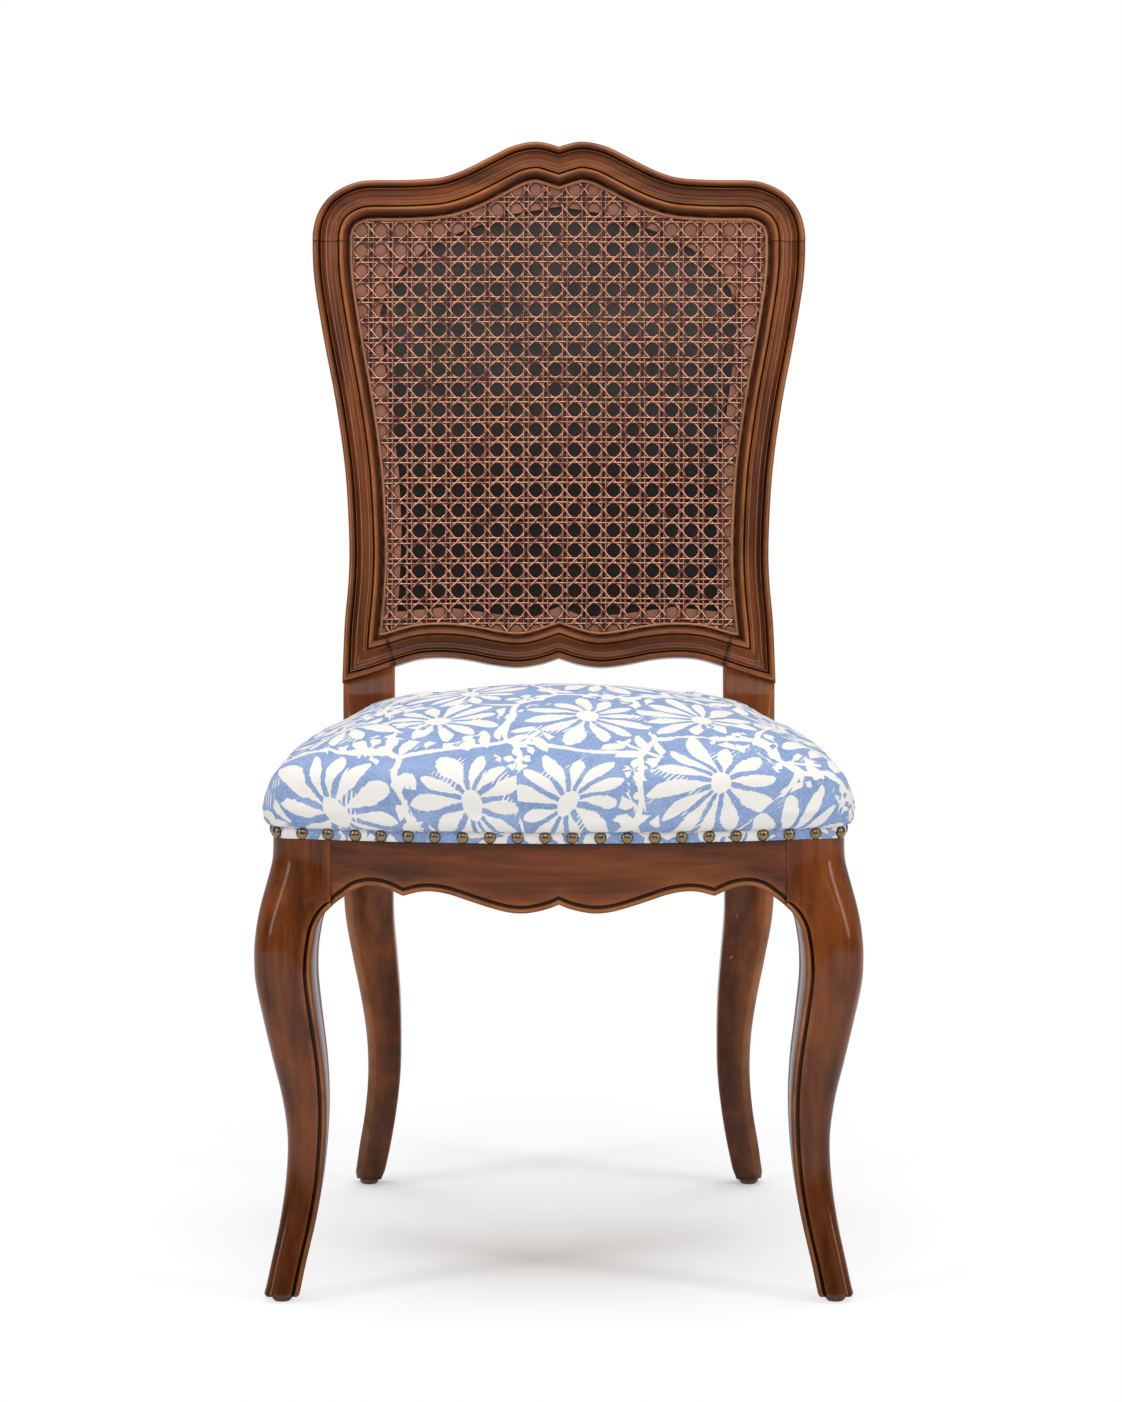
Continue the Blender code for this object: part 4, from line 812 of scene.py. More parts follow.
@dataclass(frozen=True)
class PrintedCotton:
    """White cotton with a plain allover print: flowers, vines and sprigs left white on a blue ground."""

    name: str = "printed_cotton"
    ground: str = "#efebe4"
    thread: str = "#d8d3cd"
    ink: str = "#7593c3"
    faint_ink: str = "#8ca5cd"
    large: Flower = Flower(0.124, 12, 0.0095, 0.053, 0.010, 0.5)
    small: Flower = Flower(0.068, 5, 0.0035, 0.0165, 0.004, 0.9, (0.31, 0.17, 0.0))
    sprig_scale: float = 15.0
    sprig_scatter: float = 0.75
    sprig_size: float = 0.041
    vine: float = 0.0030
    edge: float = 0.0003
    yarns: float = 1300.0
    yarn_angle: float = 20.0

    def lattice(self, g: Graph, cloth: Wire, scale: float, scatter: float, **settings) -> bpy.types.Node:
        """Divides the cloth into irregular cells.

        Args:
            g: the material's graph.
            cloth: coordinates on the cloth.
            scale: cells in a metre.
            scatter: how irregular they are.
            settings: other properties of the node.

        Returns:
            The node.
        """
        inputs = {"Vector": cloth, "Scale": scale, "Randomness": scatter}
        return g.add("TexVoronoi", inputs, voronoi_dimensions="2D", **settings)

    def cells(self, g: Graph, cloth: Wire, scale: float, scatter: float) -> tuple[Wire, list[Wire]]:
        """Gives each cell of a lattice coordinates and chance values of its own.

        Args:
            g: the material's graph.
            cloth: coordinates on the cloth.
            scale: cells in a metre.
            scatter: how irregular they are.

        Returns:
            Coordinates from the middle of each cell, and three chance values of the cell.
        """
        found = self.lattice(g, cloth, scale, scatter).outputs
        middle = g.times(Wire(g, found["Position"]), -1.0)
        return g.plus(cloth, middle), g.axes(Wire(g, found["Color"]))

    def flowers(self, g: Graph, cloth: Wire, kind: Flower) -> tuple[Wire, Wire]:
        """Draws one flower in each cell.

        Args:
            g: the material's graph.
            cloth: coordinates on the cloth.
            kind: the flower.

        Returns:
            How far inside a flower a point is, and how far it lies from the flower's circle.
        """
        local, chance = self.cells(g, g.plus(cloth, kind.shift), 1 / kind.cell, kind.scatter)
        x, y, _ = g.axes(local)
        away = g.length(local)
        slice_angle = 2 * math.pi / kind.petals
        turn = (g.math("ARCTAN2", y, x) + chance[0] * 6.0) * (1 / slice_angle) + 16.0
        number = g.math("FLOORED_MODULO", g.math("FLOOR", turn), kind.petals)
        uneven = g.math("SINE", number * 2.4 + chance[2] * 20.0)
        ends = chance[1] * kind.vary + kind.reach + uneven * (kind.reach * kind.uneven)
        along = g.math("DIVIDE", away - kind.disc, ends - kind.disc, clamp=True)
        opened = g.ramp(along, 0.0, 0.5) * kind.widening + kind.root
        tip = g.math("SUBTRACT", 1.0, along**kind.bluntness, clamp=True) ** kind.roundness
        aside = abs(g.math("FRACT", turn) - 0.5) * away * slice_angle
        petal = away * (slice_angle / 2) * opened * tip - aside - kind.gap
        middle = kind.disc * 1.2 - away
        return g.larger(petal, middle), away - (ends + kind.margin)

    def sprigs(self, g: Graph, cloth: Wire) -> Wire:
        """Scatters stems with pairs of slanting leaflets.

        Args:
            g: the material's graph.
            cloth: coordinates on the cloth.

        Returns:
            How far inside a leaflet or a stem a point is.
        """
        local, chance = self.cells(g, cloth, self.sprig_scale, self.sprig_scatter)
        spin = {"Vector": local, "Angle": chance[0] * (2 * math.pi)}
        turned = g.node("VectorRotate", spin, rotation_type="Z_AXIS")
        along, y, _ = g.axes(g.times(turned, 1 / self.sprig_size))
        aside = abs(y)
        teeth = abs(g.math("FRACT", (along - aside * 0.8) * 1.9) - 0.5) * 2.0
        oval = g.math("SQRT", g.math("SUBTRACT", 1.02, along * along, clamp=True)) * 0.62
        share = g.math("DIVIDE", aside, g.larger(oval, 0.001), clamp=True)
        fat = g.math("SINE", share**0.8 * math.pi) * 0.82
        leaflet = (fat - teeth - 0.04) * (0.26 * self.sprig_size)
        stem = g.lesser((0.05 - aside) * self.sprig_size, (0.92 - abs(along)) * 0.02)
        return g.larger(leaflet, stem)

    def shaken(self, g: Graph, cloth: Wire, scale: float, reach: float) -> Wire:
        """Moves coordinates about by noise.

        Args:
            g: the material's graph.
            cloth: the coordinates.
            scale: lumps in a metre.
            reach: how far they move.

        Returns:
            The moved coordinates.
        """
        sway = g.node("TexNoise", {"Vector": cloth, "Scale": scale, "Detail": 1.0}, "Color")
        return g.plus(cloth, g.times(g.plus(sway, (-0.5, -0.5, -0.5)), reach))

    def print_shape(self, g: Graph, cloth: Wire) -> Wire:
        """Draws the whole print.

        Args:
            g: the material's graph.
            cloth: coordinates on the cloth.

        Returns:
            1 where the cloth stays white and 0 where it is inked.
        """
        drawn = self.shaken(g, self.shaken(g, cloth, 14.0, 0.026), 240.0, 0.0028)
        large, clear = self.flowers(g, drawn, self.large)
        small, free = self.flowers(g, drawn, self.small)
        kind = self.large
        seams = self.lattice(g, drawn, 1 / kind.cell, kind.scatter, feature="DISTANCE_TO_EDGE")
        vine = self.vine - Wire(g, seams.outputs["Distance"]) * kind.cell
        sprig = g.lesser(self.sprigs(g, drawn), free)
        filling = g.lesser(g.larger(g.larger(small, sprig), vine), clear)
        shape = g.ramp(g.larger(large, filling), -self.edge, self.edge)
        waves = {"Vector": g.scaled(cloth, (1, 1, 1), (0, 0, 38)), "Scale": 78.0, "Distortion": 3.0}
        strokes = g.ramp(g.node("TexWave", waves, "Fac"), 0.62, 0.72)
        return g.larger(shape, strokes * g.ramp(g.noise(cloth, 27.0, 2.0), 0.6, 0.64))

    def material(self) -> bpy.types.Material:
        """Builds the node tree.

        Returns:
            The material.
        """
        g = Paint(self.name)
        cloth = g.node("UVMap", uv_map="cloth")
        warp, weft = (
            g.noise(g.scaled(cloth, along, (0, 0, self.yarn_angle)), self.yarns, 2.0, 0.7)
            for along in ((1.0, 0.22, 1.0), (0.22, 1.0, 1.0))
        )
        mottle = (warp + weft) * 0.5
        ink = g.mix(g.ramp(g.noise(cloth, 35.0, 3.0, 0.6), 0.3, 0.7), self.ink, self.faint_ink)
        ink = g.mix(g.ramp(mottle, 0.5, 0.66) * 0.5, ink, self.ground)
        ground = g.mix(g.ramp(mottle, 0.42, 0.62) * 0.3, self.ground, self.thread)
        g.bump(mottle, 0.0005, 0.7)
        colour = g.mix(self.print_shape(g, cloth), ink, ground)
        return g.dress(colour, 0.86, Sheen_Weight=0.08, Sheen_Roughness=0.5, Specular_IOR_Level=0.2)


# The chair's own plan and back plane


@dataclass(frozen=True)
class SeatPlan:
    """Plan of the seat frame, as the CAD draws it. Depths are read from the front apron's face."""

    front_half: float = 0.2593
    rear_half: float = 0.2092
    front_bow: float = 0.036
    side_bow: float = 0.008
    depth: float = 0.436
    rail: float = 0.024
    rail_top: float = 0.4365
    band_drop: float = 0.011
    recess: float = 0.003
    rear_setback: float = 0.0085
    corner_radius: float = 0.020
    least_radius: float = 0.004
    corner_arc: tuple[float, float] = (-80.0, -2.0)
    origin_depth: float = 0.28454
    block: float = 0.0541
    arch_reach: float = 0.0652
    joint_gap: float = 0.0004
    joint_tint: float = 0.0010
    foot_height: float = 0.006
    post_width: float = 0.0507
    post_half: float = 0.1585
    post_front: float = 0.435
    post_clearance: float = 0.0015

    def front_y(self, x: float) -> float:
        """Depth of the bowed front at a distance from the centre line."""
        return self.front_bow * (x / self.front_half) ** 2

    def side_x(self, y: float) -> float:
        """Distance of a side face from the centre line at a depth."""
        u = (y - self.front_bow) / (self.depth - self.front_bow)
        bow = 4 * self.side_bow * u * (1 - u) if 0 < u < 1 else 0.0
        return self.front_half + (self.rear_half - self.front_half) * u + bow

    def world_y(self, y: float) -> float:
        """Depth moved to the chair's own origin."""
        return y - self.origin_depth

    def world(self, x: float, y: float, z: float) -> Vector:
        """Place in the world of a point of the plan at a height."""
        return Vector((x, self.world_y(y), z))

    @property
    def rear_face(self) -> float:
        """Depth of the rear apron's back face."""
        return self.depth + self.rear_setback + self.rail

    @property
    def band_bottom(self) -> float:
        """Height at which the legs' and aprons' show faces end."""
        return self.rail_top - self.band_drop

    @property
    def post_stop(self) -> Point:
        """Half width and depth at which the soft parts stop short of the rear posts."""
        return self.post_half - self.post_clearance, self.post_front - self.post_clearance

    def outline(
        self, inset: float, front_steps: int = 24, arc_steps: int = 10, side_steps: int = 30
    ) -> list[Point]:
        """Right half of the plan, from the front centre to the rear corner.

        Args:
            inset: how far it lies inside the seat frame.
            front_steps: points along the front.
            arc_steps: points round the corner.
            side_steps: points along the side.

        Returns:
            Points as pairs of distance and depth.
        """
        radius = max(self.corner_radius - inset, self.least_radius)
        turn = self.front_half - inset - radius
        along = (turn * i / front_steps for i in range(front_steps))
        points = [(x, self.front_y(x) + inset) for x in along]
        centre = self.front_y(turn) + inset + radius
        for angle in np.radians(np.linspace(*self.corner_arc, arc_steps)):
            points.append((turn + radius * math.cos(angle), centre + radius * math.sin(angle)))
        start, end = centre + radius * 0.35, self.rear_face - inset
        for i in range(side_steps + 1):
            y = start + (end - start) * i / side_steps
            points.append((self.side_x(max(y, self.front_bow)) - inset, y))
        return points


@dataclass(frozen=True)
class BackPlane:
    """The raked, hollow plane of the back: z is read on its front, w is the depth behind that."""

    plan: SeatPlan
    rake: float = math.radians(11.0)
    hinge: float = 0.450
    bow: float = 0.012
    bow_half: float = 0.1899
    setback: float = 0.006
    foot: float = 0.515
    top: float = 1.0301
    top_half: float = 0.2385

    def point(self, x: float, z: float, w: float) -> Vector:
        """World place of a point of the back.

        Args:
            x: distance from the centre line.
            z: height on the front plane.
            w: depth behind that plane.

        Returns:
            The place.
        """
        along = (z - self.hinge) / math.cos(self.rake)
        y = self.plan.depth - self.setback + along * math.sin(self.rake) + w * math.cos(self.rake)
        y += self.bow * (1 - (x / self.bow_half) ** 2)
        return self.plan.world(x, y, self.hinge + along * math.cos(self.rake) - w * math.sin(self.rake))

    def place(self, part: float, up: float) -> Point:
        """Point in the back's plane from shares of its half width and its height."""
        half = self.plan.rear_half + (self.top_half - self.plan.rear_half) * up
        return part * half, self.foot + (self.top - self.foot) * up


Station = tuple[float, float, float, float]


@dataclass
class BackOutline:
    """Stations round the right half of the back: outer and inner edge of its frame at each."""

    plane: BackPlane
    crest_width: float = 0.034
    stile_width: float = 0.0322
    lower_width: float = 0.030
    corner_rise: float = 0.012
    corner_inset: float = 0.0008
    fine: int = 4
    # Shares of the half width and of the height
    outer: tuple[Point, ...] = (
        (0.0000, 0.9907), (0.0407, 0.9963), (0.1040, 1.0000), (0.2057, 0.9891), (0.3584, 0.9542),
        (0.4904, 0.9332), (0.6768, 0.9291), (0.8165, 0.9272), (0.9291, 0.9047), (0.9976, 0.8659),
        (1.0232, 0.8158), (1.0241, 0.7414), (0.9971, 0.6300), (0.9621, 0.5187), (0.9359, 0.3902),
        (0.9342, 0.2621), (0.9473, 0.1844), (0.9740, 0.1068), (0.9990, 0.0000),
    )
    # Share of the foot's half width, and rise above the foot
    lower: tuple[Point, ...] = (
        (1.0000, 0.0000), (0.8756, 0.0068), (0.7536, 0.0150), (0.6459, 0.0212), (0.5359, 0.0224),
        (0.4211, 0.0200), (0.3062, 0.0152), (0.1914, 0.0127), (0.0861, 0.0157), (0.0000, 0.0214),
    )
    crest_spans: int = 10
    crest_steps: int = 2
    taper_spans: int = 3
    corner_spans: int = 2
    stations: list[Station] = field(default_factory=list)
    crest_joint: int = 0
    lower_joint: int = 0

    def __post_init__(self) -> None:
        """Works out the stations, coarse ones first and finer ones between them."""
        edge = [self.plane.place(*row) for row in self.outer]
        joint = self.crest_spans * self.crest_steps
        upper = smooth_curve(edge, self.crest_steps)[:joint] + edge[self.crest_spans :]
        corner = len(upper) - 1
        foot_x, foot_z = edge[-1]
        line = upper + [(foot_x * part, foot_z + rise) for part, rise in self.lower[1:]]
        last = len(line) - 1
        lower_joint = corner + self.corner_spans
        found: list[Station] = []
        for i, (x, z) in enumerate(line):
            width = self.crest_width if i <= joint else self.stile_width if i <= corner else self.lower_width
            if joint < i < joint + self.taper_spans:
                share = (joint + self.taper_spans - i) / self.taper_spans
                width += (self.crest_width - self.stile_width) * share
            (ax, az), (bx, bz) = line[max(i - 1, 0)], line[min(i + 1, last)]
            length = math.hypot(bx - ax, bz - az)
            nx, nz = (bz - az) / length, -(bx - ax) / length
            if i in (0, last):
                found.append((x, z, 0.0, z + width / nz))
            else:
                found.append((x, z, x + nx * width, z + nz * width))
        inner_x = foot_x - self.stile_width - self.corner_inset
        inner = (inner_x, self.plane.foot + self.lower_width + self.corner_rise)
        end = found[lower_joint][2:]
        for i in range(corner, lower_joint):
            share = (i - corner) / self.corner_spans
            found[i] = (*line[i], *(a + (b - a) * share for a, b in zip(inner, end)))
        above = smooth_curve(found[: corner + 1], self.fine)
        below = smooth_curve(found[corner:], self.fine)
        self.stations = above + below[1:]
        self.crest_joint = joint * self.fine
        self.lower_joint = lower_joint * self.fine

    @property
    def corner(self) -> int:
        """Number of the station at the back's bottom corner."""
        return self.lower_joint - self.corner_spans * self.fine

    def across(self, station: Station, share: float) -> Point:
        """Point of a station at a share of the frame's width from its outer edge."""
        ox, oz, ix, iz = station
        return ox + (ix - ox) * share, oz + (iz - oz) * share

    def ring(self, station: Station, section: Sequence[Point], side: int = 1) -> list[Vector]:
        """World ring of a section at a station.

        Args:
            station: the station.
            section: shares of the width and depths.
            side: 1 on the right and -1 on the left.

        Returns:
            Places of the ring's points.
        """
        flat = ((self.across(station, share), depth) for share, depth in section)
        return [self.plane.point(side * x, z, depth) for (x, z), depth in flat]

    def loop(self, share: float) -> list[Point]:
        """Closed loop round the whole back at a share of the frame's width."""
        return whole([self.across(station, share) for station in self.stations])

    def shifted(self, station: Station, toward: Station, gap: float) -> Station:
        """Moves both edges of a station a little towards those of another one.

        Args:
            station: the one that moves.
            toward: the one that it moves towards.
            gap: how far each of its points moves.

        Returns:
            The moved station.
        """
        moved: list[float] = []
        for edge in (slice(0, 2), slice(2, 4)):
            (x, z), (tx, tz) = station[edge], toward[edge]
            share = gap / math.hypot(tx - x, tz - z)
            moved += [x + (tx - x) * share, z + (tz - z) * share]
        return tuple(moved)


# A point of a member's section, and its tone
Row = tuple[float, float, Tone]


@dataclass(frozen=True)
class Bead:
    """Rounded bead along a member's edge, beside a sunk groove."""

    width: float = 0.005
    depth: float = 0.0022
    groove: float = 0.0010
    steps: int = 8
    sink: float = 0.0002

    def crown(self) -> list[Row]:
        """Points across the bead.

        Returns:
            Share of its width from the groove, depth behind the face and tone of each.
        """
        rows = []
        for i in range(1, self.steps):
            rise = math.sin(math.pi * i / self.steps)
            # Wear and painted highlight on the crown, glazing and painted shade next to the groove.
            tone = Tone(0.5 if i == 1 else 0.0, 0.9 * rise)
            rows.append((i / self.steps, self.depth * (1 - rise**0.6) + self.sink, tone))
        return rows


# Sub-assemblies


@dataclass
class BackFrame:
    """Moulded frame of the back: crest rail, stiles with the rear legs, and bottom rail."""

    outline: BackOutline
    thickness: float = 0.026
    rebate: float = 0.0115
    rebate_share: float = 0.72
    chamfer: float = 0.008
    easing: float = 0.003
    soft: float = 0.0007
    foot_easing: tuple[float, float] = (0.0016, 0.0018)
    # Share of the width from the outer edge, depth in millimetres behind the crown, darkening by glazing and
    # painted shade, lightening by wear and painted highlight
    moulding: tuple[Point, ...] = (
        (0.000, 5.2, 0.8, 0.0), (0.008, 3.4, 0.4, 0.1), (0.028, 1.7, 0.1, 0.5), (0.060, 0.6, 0.0, 1.0),
        (0.100, 0.1, 0.0, 0.5), (0.140, 0.3, 0.1, 0.2), (0.172, 1.2, 0.3, 0.1), (0.192, 2.7, 0.8, 0.0),
        (0.206, 4.6, 1.0, 0.0), (0.224, 4.8, 1.0, 0.0), (0.234, 3.3, 0.8, 0.2), (0.243, 2.9, 0.1, 1.0),
        (0.256, 3.0, 0.1, 0.7), (0.268, 3.7, 0.7, 0.0), (0.300, 5.0, 0.3, 0.0), (0.350, 6.3, 0.1, 0.1),
        (0.420, 7.2, 0.0, 0.2), (0.500, 7.5, 0.0, 0.25), (0.570, 7.1, 0.0, 0.2), (0.630, 6.1, 0.0, 0.35),
        (0.675, 4.9, 0.0, 0.6), (0.700, 4.1, 0.0, 1.0), (0.708, 4.4, 0.7, 0.2), (0.717, 6.0, 1.0, 0.0),
        (0.736, 6.1, 1.0, 0.0), (0.747, 4.4, 0.8, 0.2), (0.765, 3.3, 0.1, 0.6), (0.800, 2.6, 0.0, 1.0),
        (0.840, 2.6, 0.0, 0.5), (0.880, 3.2, 0.1, 0.2), (0.920, 4.5, 0.2, 0.0), (0.955, 6.4, 0.5, 0.0),
        (0.985, 8.6, 0.9, 0.0), (1.000, 9.4, 1.0, 0.0),
    )
    # The same for the back of the frame, with the depth in millimetres in front of its rear face
    rear: tuple[Point, ...] = (
        (0.500, 0.0, 0.0, 0.0), (0.090, 0.0, 0.0, 0.2), (0.045, 0.5, 0.0, 0.6), (0.014, 1.6, 0.0, 0.7),
        (0.000, 3.4, 0.0, 0.4), (0.000, 13.0, 0.0, 0.1),
    )
    # Share of the rise to the rake, outer edge inside the seat's side face, inner edge outside the
    # post's inner face at the seat, front and back face behind the seat's depth
    leg: tuple[Point, ...] = (
        (0.0000, 0.0072, 0.0157, 0.1000, 0.1290), (0.0766, 0.0119, 0.0083, 0.0875, 0.1185),
        (0.1667, 0.0184, 0.0015, 0.0720, 0.1045), (0.2568, 0.0219, -0.0029, 0.0575, 0.0915),
        (0.3468, 0.0211, -0.0040, 0.0445, 0.0800), (0.4369, 0.0161, -0.0035, 0.0330, 0.0700),
        (0.5270, 0.0090, -0.0010, 0.0225, 0.0610), (0.6284, 0.0019, 0.0022, 0.0130, 0.0530),
        (0.7297, 0.0004, 0.0018, 0.0055, 0.0470), (0.8311, 0.0006, 0.0007, 0.0010, 0.0425),
        (0.9212, 0.0008, 0.0000, -0.0010, 0.0390), (1.0000, 0.0010, 0.0000, 0.0000, 0.0365),
    )
    # Above the rake: height above the hinge, depth of the back face, chamfer
    waist: tuple[Point, ...] = ((0.025, 0.031, 0.008), (0.050, 0.0265, 0.005))
    # At the foot of the stile: rise above the back's bottom edge, depth, inner edge moved out
    tuck: tuple[Point, ...] = ((-0.001, 0.006, 0.0), (0.003, 0.0095, 0.0022), (0.010, 0.0095, 0.006))
    # Wear and painted highlight on the rear leg's edges: point of the ring, and amount.
    worn_and_lit_edges: tuple[Point, ...] = ((0, 0.5), (3, 0.5), (4, 0.8), (14, 0.6), (15, 0.8), (16, 0.8))

    def section(self) -> tuple[list[Point], list[Tone]]:
        """The whole section of the frame.

        Returns:
            Its points and the tone of each.
        """
        back, step = self.thickness, self.rebate_share
        rows = [(share, depth / 1000, *tone) for share, depth, *tone in self.moulding]
        # The rebate is darkened by glazing and painted shade.
        rows += [(1.0, self.rebate, 1.0, 0.0), (step, self.rebate, 0.6, 0.0)]
        rows += [(step, back - 0.0006, 0.2, 0.0), (step - 0.02, back, 0.0, 0.5)]
        rows += [(share, back - depth / 1000, *tone) for share, depth, *tone in self.rear]
        return [row[:2] for row in rows], [Tone(*row[2:]) for row in rows]

    def rail(self, name: str, half: Sequence[Station], material: bpy.types.Material) -> bpy.types.Object:
        """Member that crosses the back, from the left joint to the right one.

        Args:
            name: name of the piece.
            half: its stations from the centre to the right joint.
            material: its finish.

        Returns:
            The piece.
        """
        lay = self.outline
        points, tones = self.section()
        rings = [lay.ring(s, points, -1) for s in reversed(half)] + [lay.ring(s, points) for s in half[1:]]
        return Shape().sweep(rings, tones, DARK).finish(name, material)

    def post_ring(
        self,
        level: Callable[[float], float],
        outer: float,
        inner: float,
        faces: tuple[Callable[[float], float], Callable[[float], float]],
        chamfer: float,
    ) -> list[Vector]:
        """Ring of the rear leg, with its outer front corner chamfered.

        Args:
            level: height at a distance from the centre line.
            outer: outer edge.
            inner: inner edge.
            faces: depth of the front and of the back face at a height.
            chamfer: width of the chamfer.

        Returns:
            Places of the ring's points.
        """
        front, back = faces
        e, soft = self.easing, self.soft
        ring = [
            (outer - chamfer - soft, front, 0.0),
            ((outer + inner - chamfer) / 2, front, 0.0),
            *((inner + e * a, front, e * b) for a, b in EASED),
            *((inner + e * a, back, -e * b) for a, b in reversed(EASED)),
            *((outer - e * a, back, -e * b) for a, b in EASED),
            (outer, front, chamfer + soft),
            (outer - soft * 0.3, front, chamfer - soft),
            (outer - chamfer + soft, front, soft * 0.3),
        ]
        plan = self.outline.plane.plan
        return [plan.world(x, face(level(x)) + off, level(x)) for x, face, off in ring]

    def leg_rings(self) -> list[list[Vector]]:
        """Rings of the rear leg from the floor up to inside the bottom corner of the back.

        Returns:
            The rings from the foot up.
        """
        lay = self.outline
        plane = lay.plane
        plan = plane.plan
        inner_half = plan.rear_half - plan.post_width
        shrink, ease_height = self.foot_easing
        rows = []
        for up, outer, inner, front, back in self.leg:
            z = plan.foot_height + (plane.hinge - plan.foot_height) * up
            faces = plan.depth + front, plan.depth + back
            rows.append((z, plan.rear_half - outer, inner_half + inner, *faces))
        curve = smooth_curve(rows, 6)
        curve[1] = (curve[1][0] + ease_height, *curve[1][1:])
        z, outer, inner, front, back = curve[0]
        curve[0] = (z, outer - shrink, inner + shrink, front + shrink, back - shrink)
        if curve[2][0] < curve[1][0]:
            curve.pop(2)
        rings = [
            self.post_ring(always(z), outer, inner, (always(front), always(back)), self.chamfer)
            for z, outer, inner, front, back in curve
        ]

        def face(depth: float) -> Callable[[float], float]:
            """Depth of a raked face by height."""
            return lambda z: plane.point(plane.bow_half, z, depth).y + plan.origin_depth

        outer = rows[-1][1]
        for rise, back, chamfer in self.waist:
            faces = face(plane.setback), face(back)
            rings.append(self.post_ring(always(plane.hinge + rise), outer, inner_half, faces, chamfer))
        (far_x, far_z, *_), (near_x, near_z, *_) = lay.stations[lay.corner], lay.stations[lay.lower_joint]
        steep = (near_z - far_z) / (far_x - near_x)
        for rise, depth, inset in self.tuck:
            faces = face(depth), face(self.thickness - 0.001)
            rings.append(
                self.post_ring(
                    lambda x, rise=rise: far_z + (far_x - x) * steep + rise,
                    outer,
                    inner_half + inset,
                    faces,
                    self.easing,
                )
            )
        return rings

    def build(self) -> None:
        """Builds and places the frame."""
        across = GlazedWood("crest_wood", Grain.ACROSS).material()
        upright = GlazedWood("stile_wood", Grain.RAKED, shaded_below=0.27).material()
        lay = self.outline
        plan = lay.plane.plan
        points, tones = self.section()
        nearly = plan.joint_gap / 8
        crest = lay.stations[: lay.crest_joint + 1]
        stile = lay.stations[lay.crest_joint : lay.lower_joint + 1]
        lower = lay.stations[: lay.lower_joint - 1 : -1]
        crest[-1:] = [lay.shifted(crest[-1], crest[-2], gap) for gap in (plan.joint_tint, nearly)]
        lower[-1:] = [lay.shifted(lower[-1], lower[-2], gap) for gap in (plan.joint_tint, 0.00001)]
        stile[:1] = [lay.shifted(stile[0], stile[1], gap) for gap in (nearly, plan.joint_tint)]
        settle(self.rail("crest", crest, across), "wood", "crest_rail")
        settle(self.rail("back_bottom_rail", lower, across), "wood", "lower_back_rail")
        post = Shape().sweep([lay.ring(s, points) for s in stile], tones, DARK)
        rings = self.leg_rings()
        wear_and_highlight = dict(self.worn_and_lit_edges)
        post.sweep(rings, [Tone(0.0, wear_and_highlight.get(i, 0.1)) for i in range(len(rings[0]))], Tone(0.5))
        settle_pair(post, upright, "post", "rear_post")


